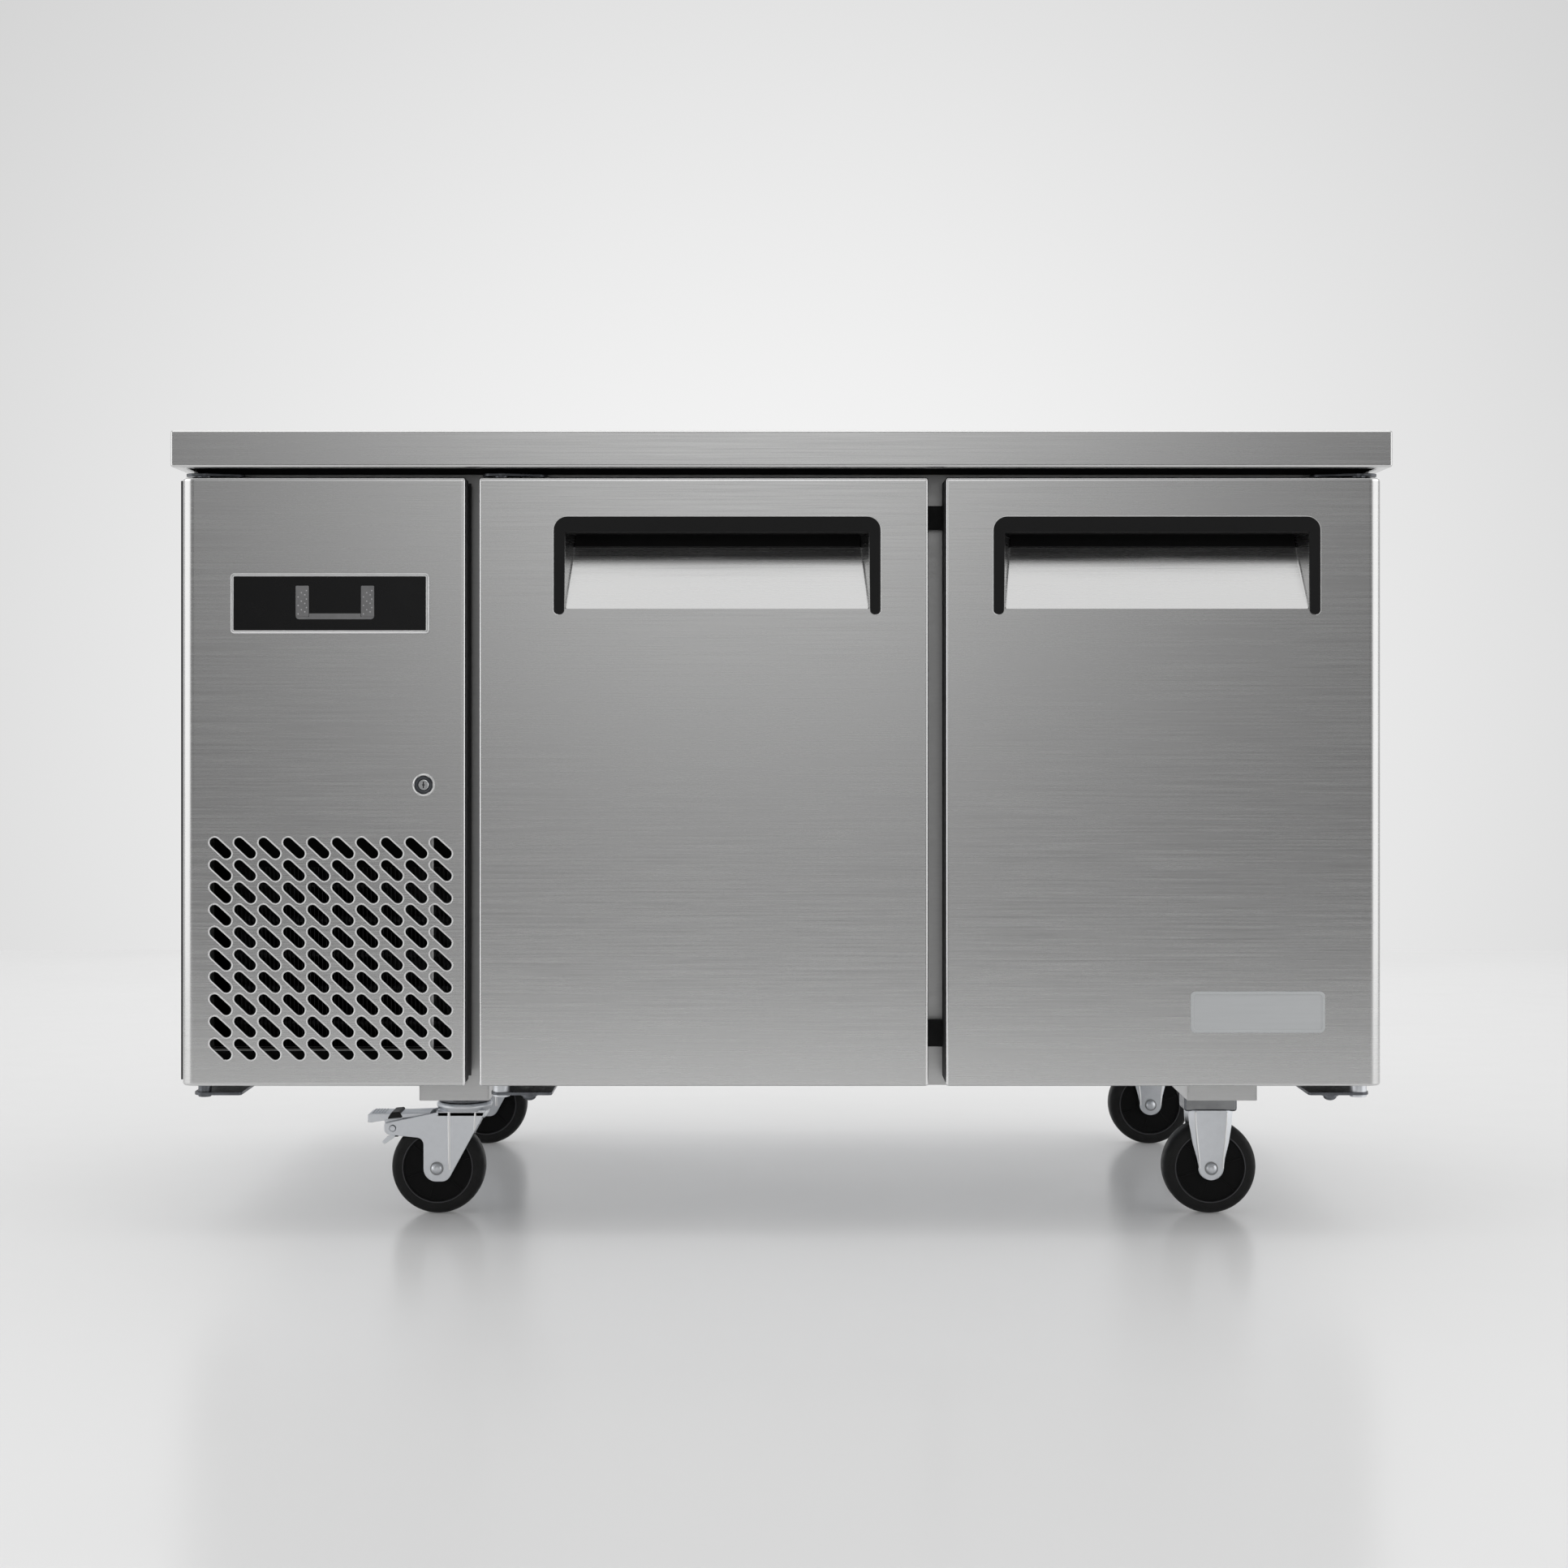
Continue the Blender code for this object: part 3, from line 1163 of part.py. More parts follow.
def swivel_caster(name, x, y, braked):
    """A swivelling caster that trails to the left, with a brake pedal if asked."""
    race_low = CASTER_HEIGHT - SEAT - PLATE_SHEET - RACE_HEIGHT
    ring_high = race_low - 2 * SEAT
    ring_low = ring_high - RACE_HEIGHT
    crown_low = ring_low - CROWN_SHEET
    head_high = crown_low - 2 * SEAT
    root = CASTER_HEIGHT - SEAT - PLATE_SHEET / 2

    top = mounting(f"{name}_caster_plate", x, y)
    race = rod("race", (x, y, race_low), (x, y, root), RACE_RADIUS - RACE_STEP, 24)
    pin = rod("pin", (x, y, head_high - SHEET), (x, y, root), KINGPIN)
    head = rod("head", (x, y, head_high - KINGPIN_HEAD_HEIGHT), (x, y, head_high), KINGPIN_HEAD)
    join(top, race, pin, head)

    axle_x = x - TRAIL
    tail = axle_x - LEG_ROUND
    low = wheel_level - LEG_ROUND
    slope = math.radians(BRAKE_SLOPE)
    offset = wheel_radius + BRAKE_CLEARANCE
    pivot = Vector((axle_x + offset * math.cos(slope), y, wheel_level + offset * math.sin(slope)))
    arm = pivot.x - ARM_END
    outline = [(x + RACE_RADIUS * 0.86, ring_low + SHEET, 0.0)]
    if braked:
        outline += [
            (axle_x, crown_low, 0.0), (arm, pivot.z + ARM_RISE, ARM_ROUND * 0.5),
            (arm, pivot.z - ARM_FALL, ARM_ROUND), (tail, pivot.z - ARM_ROOT, ARM_ROUND),
        ]
    else:
        outline += [(x - RACE_RADIUS * 0.9, ring_low + SHEET, 0.0), (tail, crown_low - LEG_DROP, 0.0)]
    outline += [(tail, low, LEG_ROUND * 0.95), (axle_x + LEG_ROUND * 0.8, low, LEG_ROUND * 0.75)]

    fork = rod(f"{name}_caster_fork", (x, y, ring_low), (x, y, ring_high), RACE_RADIUS, 24)
    reach = FORK_SPACE / 2 + FORK_SHEET
    bridge = box(
        "bridge",
        (x - RACE_RADIUS * 0.95, y - reach, crown_low),
        (x + RACE_RADIUS * 0.82, y + reach, ring_low + SHEET),
    )
    join(fork, bridge, *fork_legs(y, rounded(outline)))
    bore = rod("bore", (x, y, crown_low - PAST), (x, y, ring_high + PAST), KINGPIN + PLAY)
    cut(fork, bore, leg_hole(axle_x, y, wheel_level, AXLE_RADIUS + SEAT))

    turning = [fork, axle(f"{name}_caster_axle", axle_x, y), wheel(f"{name}_wheel", axle_x, y)]
    if braked:
        cut(fork, leg_hole(pivot.x, y, pivot.z, BRAKE_PIN + PLAY, 12))
        turning.append(brake_pedal(name, x, pivot, crown_low - SHEET))
    carry(f"{name}_swivel_axis", (x, y, CASTER_HEIGHT), *turning)
    give(zinc, top, fork)


def brake_pedal(name, x, pivot, low):
    """A pedal between the fork's legs, with its shoe below the pin that it turns on."""
    y = pivot.y
    half = FORK_SPACE / 2 - PEDAL_GAP
    start = x - PEDAL_START
    end = start - PEDAL_LENGTH
    outline = rounded([
        (start, y - half, 0.0), (start, y + half, 0.0),
        (end, y + half, PEDAL_ROUND), (end, y - half, PEDAL_ROUND),
    ])
    pedal = plate(f"{name}_brake_pedal", "XY", low, low + PEDAL_SHEET, outline)
    lug_face = half - SEAT
    for near in (y - lug_face, y + lug_face - LUG_SHEET):
        lug = box(
            "lug", (pivot.x - LUG_HALF, near, pivot.z - LUG_HALF),
            (pivot.x + LUG_HALF, near + LUG_SHEET, low + SHEET),
        )
        join(pedal, lug)
    shoe_face = lug_face - SEAT
    shoe_low = pivot.z - SHOE_DROP
    shoe = box(
        "shoe", (pivot.x - SHOE_REACH / 2, y - shoe_face, shoe_low),
        (pivot.x + SHOE_REACH, y + shoe_face, shoe_low + SHOE_HEIGHT),
    )
    reach = Vector((0.0, FORK_SPACE / 2 + FORK_SHEET + PEDAL_GAP, 0.0))
    join(pedal, shoe, rod("pin", pivot - reach, pivot + reach, BRAKE_PIN, 12))
    give(dark_metal, pedal)
    return carry(f"{name}_brake_axis", pivot, pedal)


def main():
    """Builds the whole refrigerator."""
    build_worktop()
    build_shell()
    build_frame()
    build_cold_box()
    build_shelves()
    build_evaporator()
    build_condenser()
    build_compressor()
    build_hinges("left_door", left_pin, 1.0, LOWER_HINGE_SPAN, UPPER_HINGE_SPAN, True)
    build_hinges("right_door", right_pin, -1.0, LOWER_HINGE_SPAN, UPPER_HINGE_SPAN, True)
    build_hinges("panel", panel_pin, 1.0, PANEL_HINGE_SPAN, PANEL_HINGE_SPAN, False)
    build_door("left_door", left_door, left_open, left_pin, True)
    build_door("right_door", right_door, right_open, right_pin, False)
    build_panel()
    build_rail("left_caster_rail", left_caster_x)
    build_rail("right_caster_rail", right_caster_x)
    swivel_caster("front_left", left_caster_x, front_caster_y, True)
    swivel_caster("rear_left", left_caster_x, rear_caster_y, False)
    rigid_caster("front_right", right_caster_x, front_caster_y)
    rigid_caster("rear_right", right_caster_x, rear_caster_y)


for old in list(bpy.data.objects):
    bpy.data.objects.remove(old)
bpy.context.scene.collection.children.link(PARTS)
bpy.context.scene.collection.children.link(CUTTERS)
main()
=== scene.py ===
"""Looks of the undercounter refrigerator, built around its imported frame. Metres, +Z up, front faces -Y."""

import json
import math
from contextlib import contextmanager

import bmesh
import bpy
from mathutils import Matrix, Vector


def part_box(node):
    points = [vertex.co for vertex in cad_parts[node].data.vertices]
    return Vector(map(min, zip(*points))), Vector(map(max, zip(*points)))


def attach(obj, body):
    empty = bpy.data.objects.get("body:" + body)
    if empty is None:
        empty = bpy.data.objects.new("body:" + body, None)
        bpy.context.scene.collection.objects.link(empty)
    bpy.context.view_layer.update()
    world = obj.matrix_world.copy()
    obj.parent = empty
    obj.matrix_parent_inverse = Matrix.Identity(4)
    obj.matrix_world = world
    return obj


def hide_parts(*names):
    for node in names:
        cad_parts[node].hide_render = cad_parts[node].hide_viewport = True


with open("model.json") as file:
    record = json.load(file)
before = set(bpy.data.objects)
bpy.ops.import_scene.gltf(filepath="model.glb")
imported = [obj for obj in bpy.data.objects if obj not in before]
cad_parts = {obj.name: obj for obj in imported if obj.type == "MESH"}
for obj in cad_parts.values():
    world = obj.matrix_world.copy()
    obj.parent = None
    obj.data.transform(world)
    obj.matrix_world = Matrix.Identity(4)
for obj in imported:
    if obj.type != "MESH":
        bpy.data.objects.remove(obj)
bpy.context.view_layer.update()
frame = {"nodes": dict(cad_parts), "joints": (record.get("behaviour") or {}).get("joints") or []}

RIGHT = Vector((1.0, 0.0, 0.0))
FRONT = Vector((0.0, -1.0, 0.0))
BACK = Vector((0.0, 1.0, 0.0))
UP = Vector((0.0, 0.0, 1.0))
DOWN = Vector((0.0, 0.0, -1.0))
SHARP = math.radians(38.0)  # edges that turn by more than this stay sharp
SHEET = 0.0012
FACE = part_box("left_door_skin")[0].y
EDGE = 0.0024  # folded edges of doors and panel
BULLNOSE = 0.0135  # outer edges at both ends of the cabinet
ROLL = 0.0012  # height and depth of the slight roll below the fronts' upper edges
ROLL_DEPTH = 0.00007
FLOOR = ((-1.86, -1.9), (1.86, 2.8))  # two corners
ROOM_FRONT = 0.15  # the room's brightness ahead of the object and at its sides
ROOM_SIDES = 0.56
ROOM_GLOWS = (  # direction, size and brightness of each soft glow
    ((-0.012, -0.986, 0.165), 0.30, 0.96), ((0.0, 1.0, 0.0), 0.62, 0.36), ((0.0, 0.0, 1.0), 0.95, 0.45),
)


# Pieces and their finishes


def piece(name, shape, body, slot, finishes, *nodes, sheet=0.0):
    """Turns a bmesh into a piece that rides on a body and may stand for CAD nodes; sheet thickens it."""
    bmesh.ops.recalc_face_normals(shape, faces=shape.faces)
    mesh = bpy.data.meshes.new(name)
    shape.to_mesh(mesh)
    shape.free()
    mesh.shade_smooth()
    mesh.set_sharp_from_angle(angle=SHARP)
    for finish in finishes:
        mesh.materials.append(finish)
    made = bpy.data.objects.new(name, mesh)
    bpy.context.scene.collection.objects.link(made)
    if sheet:
        wall = made.modifiers.new("Sheet", "SOLIDIFY")
        wall.thickness = sheet
        wall.offset = -1.0
    made.modifiers.new("Flat faces", "WEIGHTED_NORMAL").keep_sharp = True
    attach(made, body)
    if nodes:
        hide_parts(*nodes)


@contextmanager
def painted(shape, index):
    """Gives the faces that are added inside the with block another of the piece's finishes."""
    count = len(shape.faces)
    yield
    for face in list(shape.faces)[count:]:
        face.material_index = index


def paint_core(shape, centre, radius, inside, outside):
    """Gives the faces within a radius of an axis along Y one finish, and all others another."""
    for face in shape.faces:
        near = (face.calc_center_median() - centre).xz.length < radius
        face.material_index = inside if near else outside


def joint_place(name):
    """Where a joint of the frame lies."""
    return Vector(next(joint for joint in frame["joints"] if joint["name"] == name)["pos_m"])


# Outlines


def rounded(corners, steps=5):
    """The points of a closed outline; each corner is (u, v, radius)."""
    points = []
    for index, (u, v, radius) in enumerate(corners):
        corner = Vector((u, v))
        if not radius:
            points.append(corner)
            continue
        before = (Vector(corners[index - 1][:2]) - corner).normalized()
        after = (Vector(corners[(index + 1) % len(corners)][:2]) - corner).normalized()
        half = before.angle(after) / 2
        centre = corner + (before + after).normalized() * (radius / math.sin(half))
        start = corner + before * (radius / math.tan(half)) - centre
        end = corner + after * (radius / math.tan(half)) - centre
        first = math.atan2(start.y, start.x)
        sweep = (math.atan2(end.y, end.x) - first + math.pi) % (2 * math.pi) - math.pi
        for step in range(steps + 1):
            angle = first + sweep * step / steps
            points.append(centre + Vector((math.cos(angle), math.sin(angle))) * radius)
    return points


def rectangle(low, high, radius=0.0, inset=0.0, steps=5):
    """A rectangular outline between two corners, drawn in by an inset."""
    left = low[0] + inset
    right = high[0] - inset
    bottom = low[1] + inset
    top = high[1] - inset
    corners = [(left, bottom), (right, bottom), (right, top), (left, top)]
    return rounded([(*corner, radius) for corner in corners], steps)


def circle(centre, radius, sides=32):
    """A round outline."""
    angles = [2 * math.pi * index / sides for index in range(sides)]
    return [Vector((centre[0] + radius * math.cos(a), centre[1] + radius * math.sin(a))) for a in angles]


def slot_outline(centre, length, width, angle, steps=8):
    """A round-ended slot's outline."""
    reach = (length - width) / 2
    points = []
    for end in (angle, angle + math.pi):
        for step in range(steps + 1):
            around = end - math.pi / 2 + math.pi * step / steps
            u = centre[0] + reach * math.cos(end) + width / 2 * math.cos(around)
            v = centre[1] + reach * math.sin(end) + width / 2 * math.sin(around)
            points.append(Vector((u, v)))
    return points


def turning(outline):
    """Twice the signed area of an outline."""
    return sum(a.x * b.y - b.x * a.y for a, b in zip(outline, outline[1:] + outline[:1]))


def mirrored(side):
    """A turned profile with its mirror image behind it."""
    return side + [(radius, -height) for radius, height in reversed(side)]


# Solid forms


def add_block(shape, low, high, bevel=0.0006, segments=2, turn=None):
    """A block with rounded edges between two corners; turn is a matrix applied to it."""
    low = Vector(low)
    high = Vector(high)
    matrix = Matrix.Translation((low + high) / 2) @ Matrix.Diagonal((*(high - low), 1.0))
    verts = bmesh.ops.create_cube(shape, size=1.0, matrix=matrix)["verts"]
    if bevel:
        edges = list({edge for vert in verts for edge in vert.link_edges})
        faces = bmesh.ops.bevel(
            shape, geom=edges, offset=bevel, segments=segments, profile=0.5, affect="EDGES",
            clamp_overlap=True,
        )["faces"]
        verts = list({vert for face in faces for vert in face.verts})
    if turn is not None:
        bmesh.ops.transform(shape, matrix=turn, verts=verts)


def axis_matrix(at, along):
    """A frame at a point whose Z axis runs along a direction."""
    matrix = along.to_track_quat("Z", "Y").to_matrix().to_4x4()
    matrix.translation = Vector(at)
    return matrix


def join_rings(shape, rings, closed=False):
    """Faces from each ring of vertices to the next one; a ring of one vertex is a tip."""
    pairs = list(zip(rings, rings[1:]))
    if closed:
        pairs.append((rings[-1], rings[0]))
    for near, far in pairs:
        sides = max(len(near), len(far))
        for index in range(sides):
            after = (index + 1) % sides
            if len(near) == 1:
                shape.faces.new((near[0], far[after], far[index]))
            elif len(far) == 1:
                shape.faces.new((near[index], near[after], far[0]))
            else:
                shape.faces.new((near[index], near[after], far[after], far[index]))


def add_turned(shape, profile, matrix, sides, ring=False):
    """A turned form from (radius, height) points; a ring's profile is closed."""
    rings = []
    for radius, height in profile:
        spots = circle((0.0, 0.0), radius, sides if radius else 1)
        rings.append([shape.verts.new(matrix @ Vector((*spot, height))) for spot in spots])
    join_rings(shape, rings, ring)


def add_rod(shape, start, end, radius, sides, bevel):
    """A round bar with softened ends."""
    along = Vector(end) - Vector(start)
    tip = [(0.0, 0.0), (radius - bevel, 0.0), (radius - bevel * 0.3, bevel * 0.3), (radius, bevel)]
    profile = tip + [(across, along.length - height) for across, height in reversed(tip)]
    add_turned(shape, profile, axis_matrix(start, along), sides)


def add_post(shape, x, y, low, high, radius, sides, bevel):
    """An upright round bar."""
    add_rod(shape, (x, y, low), (x, y, high), radius, sides, bevel)


def add_tube(shape, points, radius, sides, closed=False):
    """A round wire or pipe along points."""
    points = [Vector(point) for point in points]
    count = len(points)
    rings = []
    normal = None
    for index, point in enumerate(points):
        before = points[index - 1] if index or closed else point
        after = points[(index + 1) % count] if index < count - 1 or closed else point
        along = (after - before).normalized()
        if normal is None:
            normal = along.orthogonal()
        normal = (normal - along * normal.dot(along)).normalized()
        other = along.cross(normal)
        spots = [point + normal * u + other * v for u, v in circle((0.0, 0.0), radius, sides)]
        rings.append([shape.verts.new(spot) for spot in spots])
    join_rings(shape, rings, closed)
    if not closed:
        shape.faces.new(rings[0])
        shape.faces.new(rings[-1])


def add_bead(shape, outline, y, radius, closed=True):
    """A fine bead along an outline on an upright face."""
    add_tube(shape, [(point.x, y, point.y) for point in outline], radius, 8, closed)


def add_plate(shape, plane, near, far, outlines, bevel=0.0):
    """A flat piece in plane XY, XZ or YZ from near to far, rounded by bevel; later outlines are holes."""
    curve = bpy.data.curves.new("plate", "CURVE")
    curve.dimensions = "2D"
    curve.fill_mode = "BOTH"
    curve.extrude = abs(far - near) / 2 - bevel
    curve.bevel_depth = bevel
    curve.bevel_resolution = 2
    curve.offset = -bevel
    for index, outline in enumerate(outlines):
        outline = [Vector(point) for point in outline]
        if (turning(outline) > 0) == (index > 0):
            outline.reverse()
        spline = curve.splines.new("POLY")
        spline.points.add(len(outline) - 1)
        spline.use_cyclic_u = True
        for point, (u, v) in zip(spline.points, outline):
            point.co = (u, v, 0.0, 1.0)
    made = bpy.data.objects.new("plate", curve)
    bpy.context.scene.collection.objects.link(made)
    bpy.context.view_layer.update()
    mesh = bpy.data.meshes.new_from_object(made.evaluated_get(bpy.context.evaluated_depsgraph_get()))
    upright = math.pi / 2 if "Z" in plane else 0.0
    sideways = math.pi / 2 if "X" not in plane else 0.0
    at = Vector([0.0 if axis in plane else (near + far) / 2 for axis in "XYZ"])
    turn = Matrix.Rotation(sideways, 4, "Z") @ Matrix.Rotation(upright, 4, "X")
    mesh.transform(Matrix.Translation(at) @ turn)
    before = len(shape.verts)
    shape.from_mesh(mesh)
    bmesh.ops.remove_doubles(shape, verts=list(shape.verts)[before:], dist=0.000002)
    bpy.data.objects.remove(made)
    bpy.data.curves.remove(curve)
    bpy.data.meshes.remove(mesh)


def add_sheet(shape, rows, offset):
    """A closed sheet between a grid of points and the same grid moved by an offset."""
    top = [[shape.verts.new(spot) for spot in row] for row in rows]
    under = [[shape.verts.new(spot + offset) for spot in row] for row in rows]
    last = len(rows) - 1
    end = len(rows[0]) - 1
    for a in range(last):
        for b in range(end):
            shape.faces.new((top[a][b], top[a + 1][b], top[a + 1][b + 1], top[a][b + 1]))
            shape.faces.new((under[a][b], under[a][b + 1], under[a + 1][b + 1], under[a + 1][b]))
    rim = [(a, 0) for a in range(last + 1)] + [(last, b) for b in range(1, end + 1)]
    rim += [(a, end) for a in range(last - 1, -1, -1)] + [(0, b) for b in range(end - 1, 0, -1)]
    for (a, b), (c, d) in zip(rim, rim[1:] + rim[:1]):
        shape.faces.new((top[a][b], under[a][b], under[c][d], top[c][d]))


def add_loop(shape, low, high, section):
    """A section swept round an upright rectangle with mitred corners; its points are (outward, y)."""
    rings = []
    for across, up in ((-1, -1), (1, -1), (1, 1), (-1, 1)):
        x = high[0] if across > 0 else low[0]
        z = high[1] if up > 0 else low[1]
        rings.append([shape.verts.new((x + across * out, y, z + up * out)) for out, y in section])
    join_rings(shape, rings, True)


# Materials


def set_inputs(node, settings):
    """Sets a node's sockets by name, with _ for a space."""
    for key, value in settings.items():
        node.inputs[key.replace("_", " ")].default_value = value


def add_node(tree, kind, value=None, entry="Vector", **settings):
    """A shader node with its settings; a value is led into its entry."""
    node = tree.nodes.new(f"ShaderNode{kind}")
    set_inputs(node, settings)
    if value is not None:
        tree.links.new(value, node.inputs[entry])
    return node


def texture(made, scale, detail=3.0, rough=0.6):
    """A noise over the piece's own coordinates, stretched by scale; comes back as its value output."""
    tree = made.node_tree
    scale = scale if isinstance(scale, tuple) else (scale, scale, scale)
    place = add_node(tree, "TexCoord")
    mapping = add_node(tree, "Mapping", place.outputs["Object"], Scale=scale)
    noise = add_node(tree, "TexNoise", mapping.outputs["Vector"], Scale=1.0, Detail=detail, Roughness=rough)
    return noise.outputs["Fac"]


def feed(made, node, result, socket):
    """Leads a node's result into a socket of the material's shader."""
    shader = made.node_tree.nodes["Principled BSDF"]
    made.node_tree.links.new(node.outputs[result], shader.inputs[socket])


def vary_roughness(made, value, low, high):
    """Varies the roughness between two values."""
    limits = {"From_Min": 0.3, "From_Max": 0.7, "To_Min": low, "To_Max": high}
    feed(made, add_node(made.node_tree, "MapRange", value, "Value", **limits), "Result", "Roughness")


def vary_colour(made, value, low, high, start=0.3, end=0.7):
    """Varies the base colour between two colours."""
    ramp = add_node(made.node_tree, "ValToRGB", value, "Fac")
    for stop, position, colour in zip(ramp.color_ramp.elements, (start, end), (low, high)):
        stop.position = position
        stop.color = (*colour, 1.0)
    feed(made, ramp, "Color", "Base Color")


def press(made, value, strength, depth):
    """Presses a value into the surface."""
    bump = add_node(made.node_tree, "Bump", value, "Height", Strength=strength, Distance=depth)
    feed(made, bump, "Normal", "Normal")


def shade(colour, factor):
    """A colour made lighter or darker."""
    return tuple(min(part * factor, 1.0) for part in colour)


def surface(name, colour, roughness, metallic=0.0, tones=None, wear=None, relief=None, **settings):
    """A principled material; settings name further sockets of its shader.

    tones is (scale, darkest factor, lightest factor), wear is (scale, least roughness, most roughness)
    and relief is (scale, strength, depth). A fourth value of tones or relief is the noise's detail.
    """
    made = bpy.data.materials.new(name)
    made.use_nodes = True
    made.diffuse_color = (*colour, 1.0)
    settings = {"Base_Color": (*colour, 1.0), "Roughness": roughness, "Metallic": metallic, **settings}
    set_inputs(made.node_tree.nodes["Principled BSDF"], settings)
    if tones:
        scale, low, high, *detail = tones
        vary_colour(made, texture(made, scale, *detail), shade(colour, low), shade(colour, high))
    if wear:
        scale, low, high = wear
        vary_roughness(made, texture(made, scale), low, high)
    if relief:
        scale, strength, depth, *detail = relief
        press(made, texture(made, scale, *detail), strength, depth)
    return made


def brushed(name, colour, roughness, scale, contrast):
    """Stainless sheet with long fine brush lines."""
    made = surface(name, colour, roughness, 1.0, Anisotropic=0.30, Anisotropic_Rotation=0.25)
    lines = texture(made, scale, 4.0, 0.7)
    vary_colour(made, lines, shade(colour, 1 - contrast), shade(colour, 1 + contrast), 0.32, 0.68)
    vary_roughness(made, lines, roughness - 0.04, roughness + 0.05)
    return made


STEEL = (0.68, 0.68, 0.677)
steel = brushed("brushed_steel", STEEL, 0.25, (6.0, 6.0, 560.0), 0.03)
steel_top = brushed("brushed_steel_top", STEEL, 0.25, (6.0, 560.0, 560.0), 0.03)
steel_inner = brushed("plain_steel", shade(STEEL, 0.92), 0.40, (30.0, 30.0, 260.0), 0.04)
# A darker copy of the steel for the front frame: painted shade.
steel_shaded = brushed("shaded_steel", shade(STEEL, 0.94), 0.42, (30.0, 30.0, 260.0), 0.04)
plate_metal = brushed("plate_metal", (0.66, 0.665, 0.67), 0.30, (8.0, 8.0, 900.0), 0.03)

zinc = surface(
    "zinc_plate", (0.77, 0.79, 0.82), 0.36, 1.0,
    tones=(55.0, 0.95, 1.05), wear=(55.0, 0.30, 0.44), relief=(900.0, 0.08, 0.0001, 2.0),
)
dark_zinc = surface(
    "dark_zinc", (0.15, 0.157, 0.170), 0.30, 1.0, tones=(70.0, 0.742, 1.258), wear=(160.0, 0.24, 0.38)
)
chrome = surface("chrome", (0.78, 0.79, 0.80), 0.12, 1.0, wear=(300.0, 0.09, 0.18))
# A pale steel whose colour stands in for the highlights along slot rims, beads and pressed creases: painted
# highlight. The lock's outer ring is finished in it too.
highlight_steel = surface("highlight_steel", (0.92, 0.92, 0.92), 0.40, 1.0, wear=(500.0, 0.36, 0.46))
# A paler, glossier steel on the fronts' small roundings and upper roll: a polish, with a painted highlight in
# its lighter colour.
edge_highlight_steel = surface("edge_highlight_steel", (0.92, 0.92, 0.92), 0.14, 1.0, wear=(400.0, 0.11, 0.18))
copper = surface(
    "copper", (0.70, 0.37, 0.22), 0.28, 1.0, tones=(60.0, 0.83, 1.11), wear=(200.0, 0.22, 0.38)
)
fins = surface(
    "fins", (0.34, 0.345, 0.35), 0.46, 1.0, tones=(30.0, 0.826, 1.174), wear=(90.0, 0.40, 0.55)
)
black_fins = surface(
    "black_fins", (0.010, 0.010, 0.011), 0.34, tones=(30.0, 0.709, 1.388), Specular_IOR_Level=0.60
)
dark_metal = surface(
    "dark_metal", (0.030, 0.031, 0.034), 0.38, tones=(50.0, 0.81, 1.263), relief=(700.0, 0.12, 0.0002)
)
black_plastic = surface(
    "black_plastic", (0.0065, 0.0065, 0.0067), 0.46,
    wear=(120.0, 0.42, 0.52), relief=(2600.0, 0.22, 0.00012, 2.0), Specular_IOR_Level=0.28,
)
black_glass = surface(
    "black_glass", (0.0045, 0.0045, 0.0048), 0.24, wear=(60.0, 0.20, 0.30), Specular_IOR_Level=0.30
)
grey_key = surface(
    "grey_key", (0.195, 0.195, 0.198), 0.52,
    tones=(70.0, 0.912, 1.088), relief=(1800.0, 0.15, 0.0001, 2.0),
)
pale_dot = surface("pale_dot", (0.52, 0.52, 0.53), 0.50, tones=(400.0, 0.905, 1.076))
pale_plate = surface(
    "pale_plate", (0.60, 0.615, 0.625), 0.30,
    tones=((12.0, 12.0, 300.0), 0.9755, 1.0245), relief=(900.0, 0.05, 0.0001, 2.0),
)
tyre = surface(
    "tyre", (0.0105, 0.0105, 0.0105), 0.46, tones=(45.0, 0.857, 1.134, 4.0), wear=(140.0, 0.42, 0.60),
    relief=(1500.0, 0.10, 0.0001, 2.0), Specular_IOR_Level=0.26,
)
wheel_core = surface(
    "wheel_core", (0.0024, 0.0024, 0.0025), 0.50, tones=(80.0, 0.835, 1.247), Specular_IOR_Level=0.16
)
seal = surface(
    "seal_grey", (0.060, 0.060, 0.064), 0.62, tones=(35.0, 0.87, 1.163), relief=(1200.0, 0.10, 0.0001)
)
shade_strip_black = surface("shade_strip_black", (0.052, 0.052, 0.054), 0.60, tones=(60.0, 0.905, 1.095))
lining = surface(
    "lining", (0.74, 0.75, 0.755), 0.42, tones=(9.0, 0.973, 1.027), relief=(420.0, 0.10, 0.0003, 2.0)
)
foam = surface("foam", (0.72, 0.62, 0.42), 0.90, tones=(40.0, 0.90, 1.10), relief=(500.0, 0.4, 0.0006))
# A near-black for the sheets in the machine bay: painted shade.
bay_shade_black = surface(
    "bay_shade_black", (0.006, 0.006, 0.006), 0.95,
    tones=(260.0, 0.667, 1.5, 4.0), relief=(1400.0, 0.5, 0.0004), Specular_IOR_Level=0.10,
)


# Worktop


def build_worktop():
    """The folded top sheet, open below inside a turned-in lip."""
    low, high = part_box("worktop")
    shape = bmesh.new()
    add_block(shape, low, high, 0.0)
    under = [face for face in shape.faces if face.normal.z < -0.5]
    bmesh.ops.inset_region(shape, faces=under, thickness=0.020)
    bmesh.ops.delete(shape, geom=under, context="FACES")
    edges = [edge for edge in shape.edges if len(edge.link_faces) == 2 and edge.calc_face_angle() > 1.0]
    bmesh.ops.bevel(shape, geom=edges, offset=0.0028, segments=5, profile=0.5, affect="EDGES")
    for face in shape.faces:
        face.material_index = 1 if abs(face.normal.x) > 0.7 else 0
    piece("worktop_sheet", shape, "cabinet", "steel", [steel_top, steel], "worktop", sheet=SHEET)


# Doors and panel


